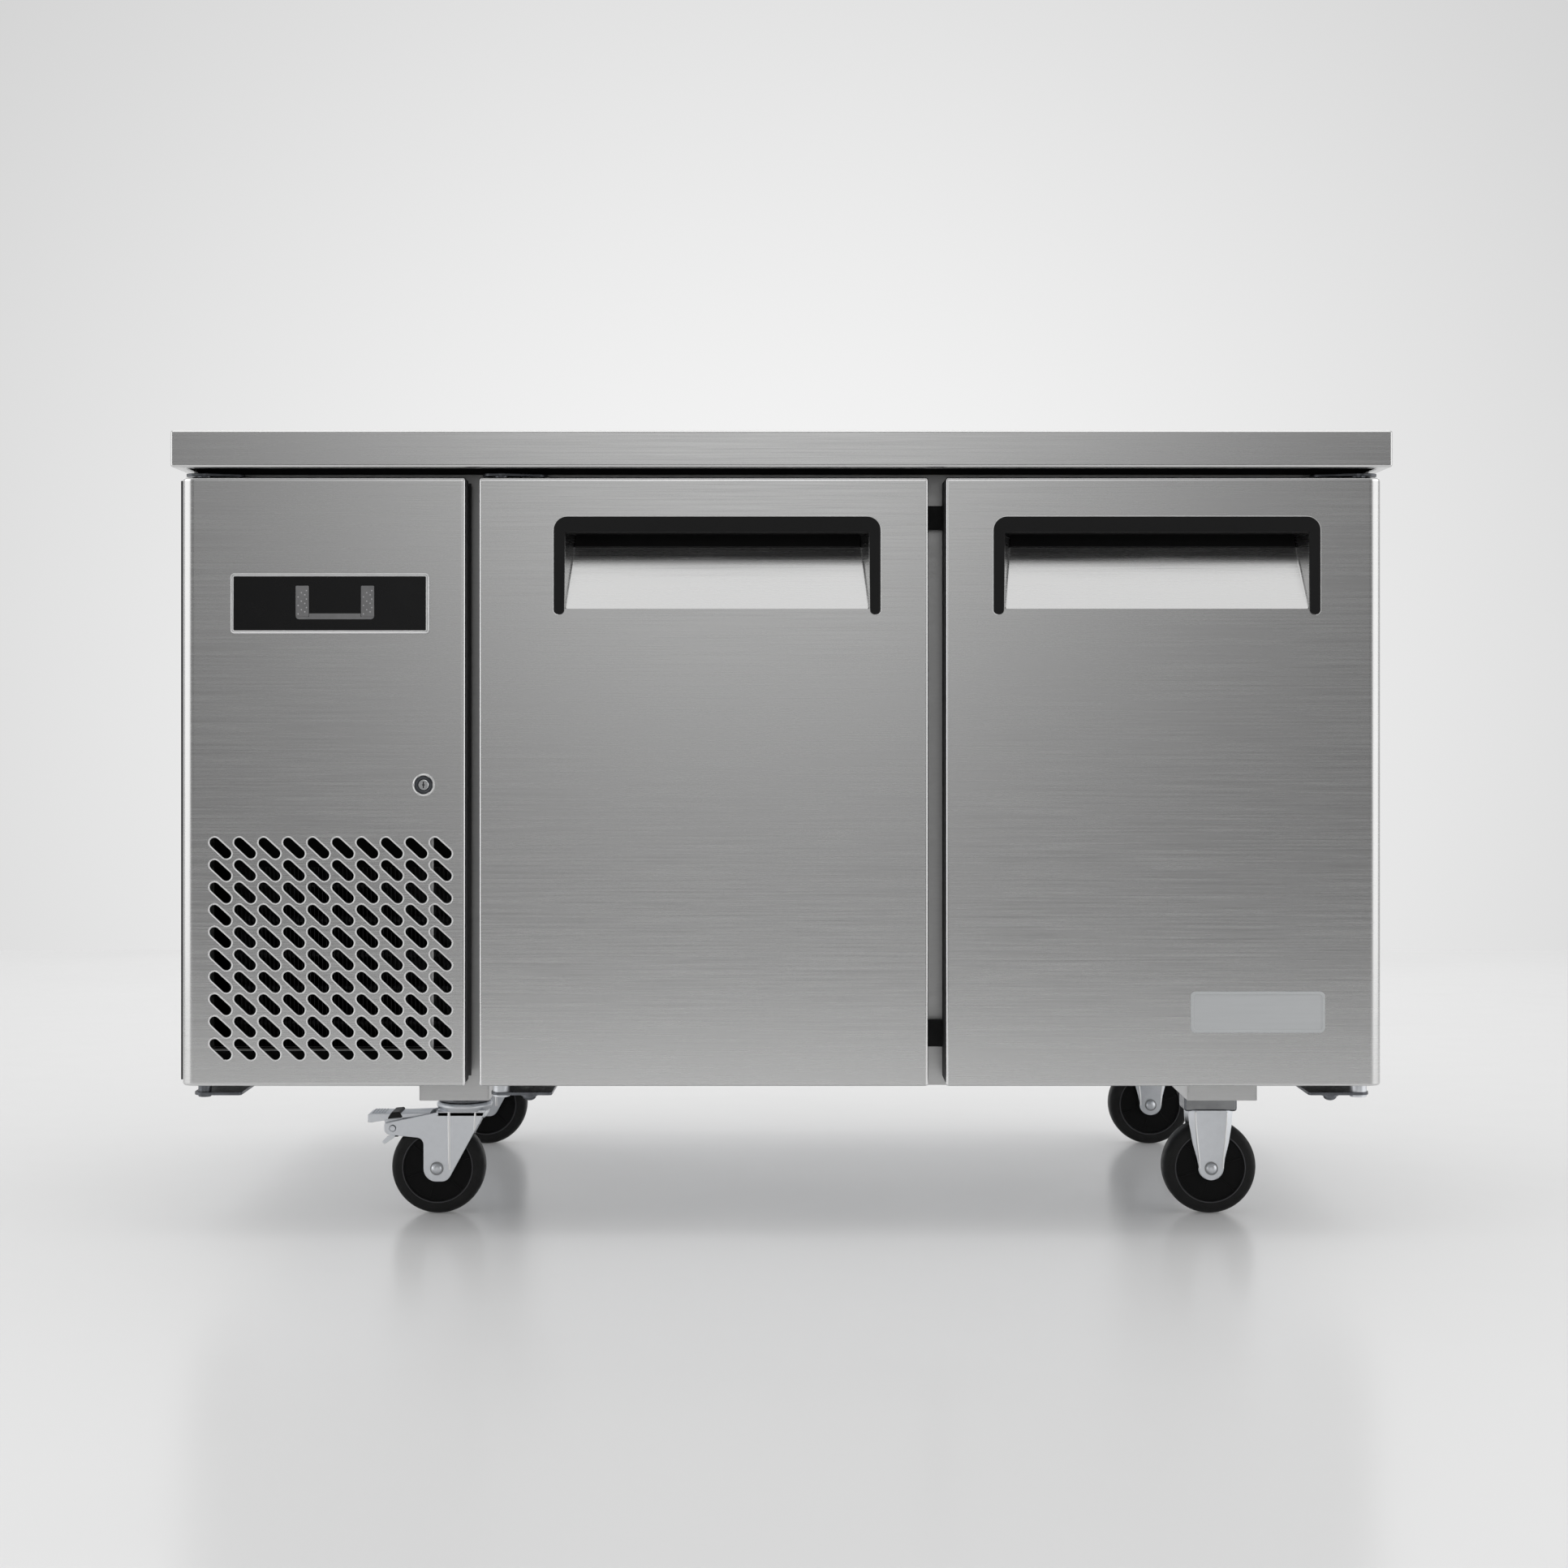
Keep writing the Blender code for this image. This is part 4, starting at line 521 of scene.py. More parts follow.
def edge_arc(middle, radius, first):
    """A front's rounded upright edge as points, normals and whether the strip after the point gets the paler
    edge steel, a polish with a painted highlight.
    """
    steps = 10 if radius > EDGE else 4
    arc = []
    for step in range(steps + 1):
        angle = math.radians(first + 90.0 * step / steps)
        normal = Vector((math.cos(angle), math.sin(angle)))
        spot = Vector((middle, FACE + radius)) + normal * radius
        arc.append((spot, normal, radius <= EDGE and step < steps))
    return arc


def add_front(shape, low, high, left_round, right_round, window):
    """A folded front sheet whose small roundings and upper roll get the paler edge steel, a polish with a
    painted highlight; the part of its face inside window is left open.
    """
    left = edge_arc(low.x + left_round, left_round, 180.0)
    right = edge_arc(high.x - right_round, right_round, 270.0)
    flat = [(Vector((corner.x, FACE)), FRONT.xy, False) for corner in window]
    section = [
        (Vector((low.x, high.y)), -RIGHT.xy, False), *left, *flat, *right,
        (Vector((high.x, high.y)), RIGHT.xy, False),
    ]
    levels = []
    for step in range(5):
        angle = math.radians(90.0 * step / 4)
        levels.append((low.z + EDGE * (1 - math.cos(angle)), EDGE * (1 - math.sin(angle))))
    top = [(low.z + high.z - level, inset + ROLL_DEPTH) for level, inset in reversed(levels)]
    open_row = len(levels)
    open_column = 1 + len(left)
    roll = open_row + 2
    levels += [(corner.z, 0.0) for corner in window]
    levels += [(high.z - EDGE - ROLL, 0.0), *top]
    rings = []
    for level, inset in levels:
        spots = [(*(spot - normal * inset), level) for spot, normal, highlighted in section]
        rings.append([shape.verts.new(spot) for spot in spots])
    for row, (near, far) in enumerate(zip(rings, rings[1:])):
        for column in range(len(section) - 1):
            if (row, column) == (open_row, open_column):
                continue
            face = shape.faces.new((near[column], near[column + 1], far[column + 1], far[column]))
            # Small roundings and the upper roll get the edge steel, whose lighter colour is a painted
            # highlight.
            face.material_index = 1 if row >= roll or section[column][2] else 0
    shape.faces.new(rings[0])
    shape.faces.new(rings[-1][::-1])


def build_door(name, left_round, right_round):
    """A door's skin with its pressed pocket, the trim round the pocket, and the inner side with its seal."""
    low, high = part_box(f"{name}_skin")
    trim_low, trim_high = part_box(f"{name}_handle_trim")
    left = trim_low.x + 0.0113
    right = trim_high.x - 0.0113
    bottom = trim_low.z + 0.0056
    top = trim_high.z - 0.0156
    back = trim_high.y
    shape = bmesh.new()
    window = (Vector((left, FACE, bottom)), Vector((right, FACE, top)))
    add_front(shape, low, high, left_round, right_round, window)

    # Pressed pocket: a slanted face between two cheeks
    taper = 0.0085
    corners = [
        (left, FACE, bottom), (right, FACE, bottom), (right, FACE, top), (left, FACE, top),
        (left + taper, back, top), (right - taper, back, top),
    ]
    a, b, c, d, e, f = [shape.verts.new(corner) for corner in corners]
    for verts in ((a, b, f, e), (a, e, d), (b, c, f)):
        shape.faces.new(verts)
    creases = [shape.edges.get((a, e)), shape.edges.get((b, f))]
    bmesh.ops.bevel(shape, geom=creases, offset=0.0016, segments=4, profile=0.5, affect="EDGES")
    piece(f"{name}_sheet", shape, name, "steel", [steel, edge_highlight_steel], f"{name}_skin")

    # Trim, with a ceiling in the pocket
    shape = bmesh.new()
    draft = 0.0010
    steps = 8
    outline = rounded([
        (trim_low.x, trim_low.z, 0.0044), (trim_low.x, trim_high.z, 0.0135),
        (trim_high.x, trim_high.z, 0.0135), (trim_high.x, trim_low.z, 0.0044),
        (right + draft, trim_low.z, 0.0044), (right, top, 0.0008),
        (left, top, 0.0008), (left - draft, trim_low.z, 0.0044),
    ], steps)
    add_plate(shape, "XZ", trim_low.y, FACE + 0.0002, [outline], 0.0007)
    ceiling_low = (left + 0.0002, trim_low.y + 0.0008, top - 0.0001)
    add_block(shape, ceiling_low, (right - 0.0002, back, top + 0.0016), 0.0004)

    # Black hood inside the pocket, over the top of the slanted face: partly a dark lip of the trim, partly
    # painted shade under the pocket's top
    slope = (back - FACE) / (top - bottom)
    hood_low = top - 0.0130
    hood_y = FACE + slope * (hood_low - bottom) - 0.0006
    section = [
        (hood_y, hood_low), (hood_y - 0.0012, hood_low + 0.0008), (back - 0.0022, top), (back - 0.0004, top),
    ]
    inset = taper * 0.90 + 0.0004
    add_plate(shape, "YZ", left + inset, right - inset, [section])
    # A bead of highlight steel round the trim's outer edge: a painted highlight line.
    with painted(shape, 1):
        outer_points = 4 * (steps + 1)
        add_bead(shape, outline[:outer_points], FACE - 0.0002, 0.0007, False)
    piece(f"{name}_trim", shape, name, "black_plastic", [black_plastic, highlight_steel], f"{name}_handle_trim")

    build_door_inner(name)
    build_seal(name)


def build_door_inner(name):
    """The foamed inner side: a flat border and a raised lining with soft corners."""
    low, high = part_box(f"{name}_inner")
    seal_low, seal_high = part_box(f"{name}_gasket")
    door_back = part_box(f"{name}_skin")[1].y
    shape = bmesh.new()
    add_block(shape, (low.x, FACE + 0.040, low.z), (high.x, door_back - 0.0002, high.z), 0.001)
    inset = 0.027
    plug_low = Vector((seal_low.x + inset, door_back - 0.012, seal_low.z + inset))
    plug_high = Vector((seal_high.x - inset, high.y, seal_high.z - inset))
    add_block(shape, plug_low, plug_high, 0.007, 5)
    under = high.y - 0.0008
    over = high.y + 0.0006
    border = Vector((0.030, 0.030))
    bead = [(0.0, under), (0.002, over), (0.008, over), (0.010, under)]
    add_loop(shape, plug_low.xz + border, plug_high.xz - border, bead)
    piece(f"{name}_lining", shape, name, "lining", [lining], f"{name}_inner")


def build_seal(name):
    """A ribbed bellows seal round the door's inner side."""
    low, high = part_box(f"{name}_gasket")
    width = Vector((0.016, 0.016))
    near = low.y
    far = high.y
    section = [
        (0.003, near), (0.013, near), (0.0135, near + 0.0025), (0.0118, near + 0.0045),
        (0.0155, near + 0.0060), (0.0158, far - 0.0012), (0.0146, far - 0.0001), (0.0014, far - 0.0001),
        (0.0002, far - 0.0012), (0.0005, near + 0.0060), (0.0042, near + 0.0045), (0.0025, near + 0.0025),
    ]
    shape = bmesh.new()
    add_loop(shape, low.xz + width, high.xz - width, section)
    piece(f"{name}_seal", shape, name, "seal", [seal], f"{name}_gasket")


def build_panel():
    """The machine panel: folded sheet with sloping slots, each with a rolled rim."""
    low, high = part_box("machine_panel")
    lock_low, lock_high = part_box("lock_body")
    control_low, control_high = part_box("controller")
    lock = (lock_low + lock_high) / 2
    window = (Vector((low.x + BULLNOSE, FACE, low.z + 0.004)), Vector((high.x - 0.004, FACE, high.z - 0.006)))
    shape = bmesh.new()
    add_front(shape, low, high, BULLNOSE, EDGE, window)
    opening = Vector((0.010, 0.004))
    holes = [rectangle(control_low.xz + opening, control_high.xz - opening), circle(lock.xz, 0.0094)]
    rims = []
    slant = math.radians(-42.5)
    for column in range(10):
        for row in range(10):
            centre = (high.x - 0.1329 + (column - 4.5) * 0.0242, low.z + 0.1359 + (row - 4.5) * 0.0221)
            holes.append(slot_outline(centre, 0.0264, 0.0103, slant))
            rims.append(slot_outline(centre, 0.0274, 0.0113, slant))
    add_plate(shape, "XZ", FACE, FACE + SHEET / 2, [rectangle(window[0].xz, window[1].xz), *holes])

    # Return flanges behind the edges, and a stiffener behind the slots
    back = high.y
    for left, right in ((high.x - 0.012, high.x - 0.0008), (low.x + 0.0008, low.x + 0.008)):
        add_block(shape, (left, back - SHEET, low.z + 0.002), (right, back, high.z - 0.002), 0.0003)
    left = lock.x + 0.0030
    stiffener_high = (left + 0.0050, back - 0.0085, lock_low.z - 0.030)
    add_block(shape, (left, back - 0.010, low.z + 0.014), stiffener_high, 0.0004)
    # The rims get the highlight steel: painted highlight lines round the slots.
    with painted(shape, 2):
        for rim in rims:
            add_bead(shape, rim, FACE, 0.00075)
    piece("slotted_panel", shape, "machine_panel", "steel", [steel, edge_highlight_steel, highlight_steel], "machine_panel")


# Controls


def key_corners(name):
    """Two corners of a key's cap, which reaches a little above its CAD node."""
    low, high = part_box(name)
    return low.xz, high.xz + Vector((0.0, 0.0045))


def build_display():
    """The display in its frame, with a recess for each key."""
    low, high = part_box("display_bezel")
    width = 0.0028
    shape = bmesh.new()
    outlines = [rectangle(low.xz, high.xz, 0.0036), rectangle(low.xz, high.xz, 0.0016, width)]
    add_plate(shape, "XZ", low.y, FACE, outlines, 0.0011)
    # Two beads of highlight steel inside the frame: painted highlight lines.
    with painted(shape, 1):
        for inset, radius in ((0.0008, 0.0030), (0.0025, 0.0018)):
            add_bead(shape, rectangle(low.xz, high.xz, radius, inset), low.y + 0.0003, 0.0006)
    piece("display_frame", shape, "machine_panel", "chrome", [plate_metal, highlight_steel], "display_bezel")

    glass = [rectangle(low.xz, high.xz, 0.0008, width)]
    room = 0.0003
    for key in ("left_key", "right_key"):
        glass.append(rectangle(*key_corners(key), 0.0012, -room))
    low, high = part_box("controller")
    shape = bmesh.new()
    add_plate(shape, "XZ", low.y, FACE, glass, 0.0002)
    case_low = (low.x + 0.010, FACE - 0.0004, low.z + 0.005)
    add_block(shape, case_low, (high.x - 0.010, high.y, high.z - 0.005), 0.002, 3)
    with painted(shape, 1):
        for index in range(5):
            left = low.x + 0.030 + index * 0.032
            terminal_low = (left, high.y - 0.0002, low.z + 0.012)
            add_block(shape, terminal_low, (left + 0.018, high.y + 0.0006, low.z + 0.020), 0.0003)
    piece("display_unit", shape, "machine_panel", "black_glass", [black_glass, black_plastic], "controller")


def build_keys():
    """The keypad: its two keys with their pale dots, and the bar between them."""
    left_low, left_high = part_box("left_key")
    right_low, right_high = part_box("right_key")
    front = left_low.y
    base = left_low.z
    bar_low = base - 0.0025
    bar_high = base + 0.0030
    seam = base - 0.0002
    gap = 0.0004
    outline = rounded([
        (left_low.x, seam, 0.0), (left_low.x, bar_low, 0.0035), (right_high.x, bar_low, 0.0035),
        (right_high.x, seam, 0.0), (right_low.x - gap, seam, 0.0), (right_low.x - gap, bar_high, 0.0),
        (left_high.x + gap, bar_high, 0.0), (left_high.x + gap, seam, 0.0),
    ])
    shape = bmesh.new()
    add_plate(shape, "XZ", front + 0.0002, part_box("controller")[0].y + 0.0003, [outline], 0.0001)
    piece("keypad_bar", shape, "machine_panel", "grey_key", [grey_key])

    dot = [(0.0, 0.00012), (0.00055, 0.0001), (0.0007, 0.0)]
    shifts = (-0.0040, 0.0026, -0.0008, 0.0042)  # of the dots from a key's middle, in turn
    for name, low, high in (("left_key", left_low, left_high), ("right_key", right_low, right_high)):
        shape = bmesh.new()
        add_plate(shape, "XZ", front, high.y, [rectangle(*key_corners(name), 0.0011)], 0.00025)
        middle = (low.x + high.x) / 2
        with painted(shape, 1):
            for index in range(12):
                x = middle + shifts[index % len(shifts)]
                spot = (x, front - 0.00002, base + 0.0026 + index * 0.0021)
                add_turned(shape, dot, axis_matrix(spot, FRONT), 10)
        piece(f"{name}_cap", shape, name, "grey_key", [grey_key, pale_dot], name)


def build_lock():
    """The cam lock: a knurled ring, its barrel with a nut, and the plug with its keyway and cam."""
    low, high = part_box("lock_body")
    at = (low + high) / 2
    at.y = FACE
    matrix = axis_matrix(at, FRONT)
    proud = FACE - low.y
    radius = (high.x - low.x) / 2
    bore = 0.0056
    barrel = 0.009
    shape = bmesh.new()
    profile = [
        (bore, proud - 0.0006), (bore + 0.0006, proud), (radius * 0.70, proud),
        (radius * 0.74, proud - 0.0007), (radius * 0.80, proud - 0.0007), (radius * 0.84, proud - 0.0001),
        (radius * 0.95, proud - 0.0006), (radius, proud - 0.0016), (radius, 0.0),
        (barrel, 0.0), (barrel, -0.030), (bore, -0.030),
    ]
    add_turned(shape, profile, matrix, 40, True)
    paint_core(shape, at, radius * 0.82, 1, 0)
    for index in range(6):
        turn = Matrix.Rotation(math.pi * index / 3, 4, "Z")
        notch = matrix @ turn @ Matrix.Translation((radius * 0.88, 0.0, proud - 0.0006))
        add_block(shape, (-0.0009, -0.0016, -0.0004), (0.0009, 0.0016, 0.0006), 0.0002, 1, notch)
    nut = [(0.0091, -0.0021), (0.0122, -0.0021), (0.0122, -0.0051), (0.0091, -0.0051)]
    add_turned(shape, nut, matrix, 6, True)
    piece("lock_ring", shape, "machine_panel", "chrome", [highlight_steel, dark_zinc], "lock_body")

    low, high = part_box("lock_plug")
    tip = FACE - low.y
    end = FACE - high.y + 0.001
    plug = 0.00525
    shape = bmesh.new()
    profile = [(0.0, end), (plug, end), (plug, tip - 0.0006), (plug - 0.0006, tip), (0.0, tip)]
    add_turned(shape, profile, matrix, 32)
    width = high.z - at.z
    add_block(shape, (at.x - width, high.y - 0.003, low.z), (at.x + width, high.y, at.z + width), 0.0009, 3)
    with painted(shape, 1):
        for across, up, bevel in ((0.0007, 0.0034, 0.0002), (0.0016, 0.0004, 0.0001)):
            keyway_low = (at.x - across, low.y - 0.00008, at.z - up)
            add_block(shape, keyway_low, (at.x + across, low.y + 0.001, at.z + up), bevel, 1)
    piece("lock_key_plug", shape, "lock", "chrome", [chrome, black_plastic], "lock_plug")


def build_bare_plate():
    """A bare raised plate low on the right door."""
    low = (0.4040, 0.2060)
    high = (0.5370, 0.2470)
    shape = bmesh.new()
    add_plate(shape, "XZ", FACE - 0.0011, FACE - 0.0001, [rectangle(low, high, 0.0050)], 0.0004)
    rim = [rectangle(low, high, 0.0046, 0.0006), rectangle(low, high, 0.0030, 0.0030)]
    add_plate(shape, "XZ", FACE - 0.0016, FACE - 0.0009, rim, 0.0003)
    piece("bare_plate", shape, "right_door", "chrome", [pale_plate])


# Hinges and frame


def add_bolt(shape, at, along, radius, height):
    """A hexagon-headed bolt with a washer."""
    matrix = axis_matrix(at, along)
    washer = radius * 1.55
    thick = radius * 0.22
    add_turned(shape, [(0.0, -0.0004), (washer, -0.0004), (washer, thick), (0.0, thick)], matrix, 24)
    head = [(0.0, 0.0), (radius, 0.0), (radius, height * 0.8), (radius * 0.82, height), (0.0, height)]
    add_turned(shape, head, matrix, 6)


def add_dome(shape, at, along, radius, height):
    """A domed nut."""
    flange = radius * 1.25
    profile = [(0.0, -0.0004), (flange, -0.0004), (flange, height * 0.22), (radius, height * 0.26)]
    for step in range(6):
        angle = math.radians(90.0 * step / 6)
        profile.append((radius * math.cos(angle), height * (0.35 + 0.65 * math.sin(angle))))
    profile.append((0.0, height))
    add_turned(shape, profile, axis_matrix(at, along), 24)


def add_screw(shape, at, along, radius=0.0038):
    """A pan-headed screw with a cross recess shown as two bars."""
    matrix = axis_matrix(at, along)
    profile = [
        (radius, -0.0003), (radius, 0.0008), (radius * 0.82, 0.0017), (radius * 0.45, 0.0021), (0.0, 0.0022),
    ]
    add_turned(shape, profile, matrix, 24)
    for turn in (0.0, math.pi / 2):
        bar = matrix @ Matrix.Rotation(turn, 4, "Z")
        add_block(shape, (-radius * 0.6, -0.0003, 0.0019), (radius * 0.6, 0.0003, 0.0024), 0.0001, 1, bar)


def build_hinges(name, hand):
    """A front's lower and upper hinge brackets; hand is 1 where the front lies right of its pin, else -1."""
    door_low, door_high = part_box("left_door_skin")
    low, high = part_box(f"{name}_bottom_hinge")
    outer, inner = (low.x, high.x) if hand > 0 else (high.x, low.x)
    pin_x = outer + hand * 0.010
    pin_y = low.y + 0.0092
    plate_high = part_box("bottom_panel")[0].z - 0.0003
    plate_low = plate_high - 0.003
    on_door = hand * (inner - pin_x) > 0.05
    corner = inner - hand * 0.016 if on_door else inner
    shape = bmesh.new()
    outline = rounded([
        (outer, low.y, 0.0095), (corner, low.y, 0.004), (corner, high.y, 0.006), (outer, high.y, 0.006),
    ])
    add_plate(shape, "XY", plate_low, plate_high, [outline], 0.0004)
    for y in (-0.250, -0.232):
        add_bolt(shape, ((outer + corner) / 2, y, plate_low), DOWN, 0.0042, 0.0032)
    if on_door:
        add_dome(shape, (pin_x + hand * 0.028, pin_y, plate_low), DOWN, 0.0066, 0.0062)
    with painted(shape, 1 if on_door else 0):
        sleeve = 0.0085 if on_door else 0.0065
        add_post(shape, pin_x, pin_y, plate_low - 0.0022, door_low.z - 0.0003, sleeve, 28, 0.0008)
        add_post(shape, pin_x, pin_y, door_low.z - 0.001, high.z, 0.004, 20, 0.0008)
    piece(f"{name}_lower_bracket", shape, "cabinet", "steel", [dark_zinc, zinc], f"{name}_bottom_hinge")

    low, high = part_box(f"{name}_top_hinge")
    outer, inner = (low.x, high.x) if hand > 0 else (high.x, low.x)
    shape = bmesh.new()
    outline = rounded([
        (outer, low.y + 0.004, 0.010), (pin_x, low.y, 0.018), (inner, low.y + 0.014, 0.012),
        (inner, high.y, 0.0), (outer, high.y, 0.0),
    ], 6)
    add_plate(shape, "XY", high.z - 0.003, high.z, [outline], 0.0005)
    add_block(shape, (low.x, high.y - 0.003, low.z), (high.x, high.y, high.z - 0.0006))
    add_post(shape, pin_x, pin_y, door_high.z + 0.0003, high.z - 0.0004, 0.008, 28, 0.0006)
    add_post(shape, pin_x, pin_y, low.z, door_high.z + 0.001, 0.004, 20, 0.0006)
    for offset in (0.012, 0.034):
        add_bolt(shape, (pin_x + hand * offset, high.y - 0.0026, low.z + 0.0066), FRONT, 0.0030, 0.0022)
    piece(f"{name}_upper_bracket", shape, "cabinet", "steel", [dark_zinc], f"{name}_top_hinge")


def build_mullion_covers():
    """Two dark covers on the post between the doors."""
    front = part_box("outer_shell")[0].y
    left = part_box("left_door_gasket")[1].x + 0.0014
    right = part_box("right_door_gasket")[0].x - 0.0014
    plug = [(0.0024, 0.0), (0.0024, 0.0005), (0.0, 0.0009)]
    for name, low, high in (("upper", 0.7070, 0.7310), ("lower", 0.1860, 0.2130)):
        shape = bmesh.new()
        add_block(shape, (left, front - 0.0105, low), (right, front - 0.0001, high), 0.0012, 3)
        for x in (left + 0.006, right - 0.006):
            add_turned(shape, plug, axis_matrix((x, front - 0.0104, (low + high) / 2), FRONT), 16)
        piece(f"{name}_mullion_cover", shape, "cabinet", "black_plastic", [black_plastic])


def build_gap_strips():
    """Dark strips beside the post and the machine panel, behind both outer edges and along the panel's and
    the right door's inner edges: painted shade in the gaps and a painted dark edge line beside the rounded
    ends.
    """
    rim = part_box("front_frame")[0].y
    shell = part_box("outer_shell")[0].y
    panel_low, panel_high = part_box("machine_panel")
    right_low, right_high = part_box("right_door_skin")
    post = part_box("right_door_gasket")[0].x
    low = panel_low.z + 0.004
    high = panel_high.z - 0.002
    shape = bmesh.new()
    edge = panel_high.x
    # Dark strips in the gaps beside the panel and the post: painted shade.
    add_block(shape, (edge - 0.010, rim - 0.0011, low), (edge + 0.0004, rim - 0.0001, high), 0.0003)
    add_block(shape, (post - 0.0046, shell - 0.0012, low), (post - 0.0004, shell - 0.0001, high), 0.0003)
    piece("gap_shade_strips", shape, "cabinet", "black_plastic", [shade_strip_black])
    for name, outer, inner, back, hand in (
        ("machine_panel", panel_low.x, panel_high.x, panel_high.y, -1.0),
        ("right_door", right_high.x, right_low.x, right_high.y, 1.0),
    ):
        shape = bmesh.new()
        left, right = sorted((outer + hand * 0.0036, outer - hand * 0.008))
        # A dark strip behind the rounded outer edge, a painted dark edge line, and one along the inner edge,
        # painted shade in the gap.
        add_block(shape, (left, back - 0.0036, low), (right, back - 0.0016, high), 0.0005)
        left, right = sorted((inner - hand * 0.0006, inner + hand * 0.0004))
        add_block(shape, (left, FACE + EDGE + 0.0006, low), (right, back - 0.0002, high), 0.0002)
        piece(f"{name}_edge_shade_strip", shape, name, "black_plastic", [shade_strip_black])


def build_top_strip():
    """A dark folded strip that closes the space between front frame and worktop; its black stands in for the
    shade in that gap (painted shade).
    """
    frame_low, frame_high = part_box("front_frame")
    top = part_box("worktop")[1].z
    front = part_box("outer_shell")[0].y
    left = frame_low.x + 0.0006
    right = frame_high.x - 0.0006
    shape = bmesh.new()
    add_block(shape, (left, front, frame_high.z + 0.0004), (right, front + SHEET, top - 0.004), 0.0004)
    add_block(shape, (left, front - 0.010, top - 0.0055), (right, front + 0.0006, top - 0.004), 0.0004)
    piece("top_shade_strip", shape, "cabinet", "black_plastic", [black_plastic])


# Casters


def build_rail(name):
    """A folded channel under the cabinet."""
    low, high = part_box(name)
    sheet = 0.002
    base = low.z + 0.0006
    shape = bmesh.new()
    add_block(shape, low, (high.x, high.y, low.z + sheet), 0.0008)
    for x in (low.x, high.x - sheet):
        add_block(shape, (x, low.y, base), (x + sheet, high.y, high.z))
    for y in (low.y, high.y - sheet):
        add_block(shape, (low.x + 0.0004, y, base), (high.x - 0.0004, y + sheet, high.z))
    piece(f"{name}_channel", shape, "cabinet", "zinc", [steel_inner], name)


def build_wheel(name):
    """A moulded wheel: rounded tread, a ring groove and six ribs in each side, and a hub."""
    low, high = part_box(f"{name}_wheel")
    centre = (low + high) / 2
    radius = min(high.x - low.x, high.z - low.z) / 2
    half = 0.015
    hub_half = (high.y - low.y) / 2
    side = [
        (0.0064, hub_half), (0.0125, hub_half), (0.0135, hub_half - 0.0008), (0.0140, half - 0.0022),
        (0.0160, half - 0.0034), (radius - 0.0150, half - 0.0034), (radius - 0.0136, half - 0.0026),
        (radius - 0.0130, half - 0.0006), (radius - 0.0118, half), (radius - 0.0062, half - 0.0002),
        (radius - 0.0030, half - 0.0014), (radius - 0.0010, half - 0.0042), (radius - 0.0002, half - 0.0080),
        (radius, half - 0.0115),
    ]
    shape = bmesh.new()
    add_turned(shape, mirrored(side), axis_matrix(centre, BACK), 96, True)
    paint_core(shape, centre, radius - 0.0137, 1, 0)
    # The groove's beads get the seal's paler grey: a painted highlight along the groove.
    with painted(shape, 2):
        for y in (centre.y - half, centre.y + half):
            add_bead(shape, circle(centre.xz, radius - 0.0124, 72), y, 0.0006)
    rib_low = (0.0155, -0.0010, half - 0.0044)
    rib_high = (radius - 0.0140, 0.0010, half - 0.0030)
    with painted(shape, 1):
        for index in range(6):
            turn = Matrix.Rotation(math.pi * index / 3 + 0.3, 4, "Z")
            for facing in (BACK, FRONT):
                add_block(shape, rib_low, rib_high, 0.0004, 2, axis_matrix(centre, facing) @ turn)
    piece(f"{name}_tyre", shape, f"{name}_wheel", "tyre", [tyre, wheel_core, seal], f"{name}_wheel")


def build_axle(name, body):
    """An axle with a flanged, domed head at each end."""
    low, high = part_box(f"{name}_caster_axle")
    centre = (low + high) / 2
    half = (high.y - low.y) / 2
    side = [
        (0.0, half), (0.0020, half - 0.0001), (0.0040, half - 0.0006), (0.0052, half - 0.0016),
        (0.0056, half - 0.0026), (0.0068, half - 0.0028), (0.0069, half - 0.0039), (0.0060, half - 0.0040),
    ]
    shape = bmesh.new()
    add_turned(shape, mirrored(side), axis_matrix(centre, BACK), 36)
    paint_core(shape, centre, 0.0060, 0, 1)
    piece(f"{name}_axle_pin", shape, body, "zinc", [zinc, fins], f"{name}_caster_axle")


def add_mounting_plate(shape, low, high, x, y):
    """A caster's plate with four bolts round a point."""
    under = high.z - 0.003
    add_plate(shape, "XY", under, high.z, [rectangle(low.xy, high.xy, 0.007)], 0.0005)
    for across in (-0.021, 0.021):
        for along in (-0.032, 0.032):
            add_bolt(shape, (x + across, y + along, under), DOWN, 0.0042, 0.0036)


def fork_leg_outline(x, axle, crown, right, arm):
    """A swivel fork leg's outline; arm is the brake pin's place or None."""
    tail = axle.x - 0.0139
    low = axle.z - 0.0137
    outline = [(right, crown, 0.0)]
    if arm:
        end = arm.x - 0.009
        outline += [
            (axle.x + 0.004, crown - 0.0016, 0.012), (end, arm.z + 0.0050, 0.0030),
            (end, arm.z - 0.0062, 0.0065), (tail, arm.z - 0.0106, 0.0075),
        ]
    else:
        outline += [(x - 0.026, crown, 0.002), (tail, crown - 0.024, 0.006)]
    outline += [(tail, low, 0.0133), (axle.x + 0.0110, low, 0.0105)]
    return rounded(outline, 8)


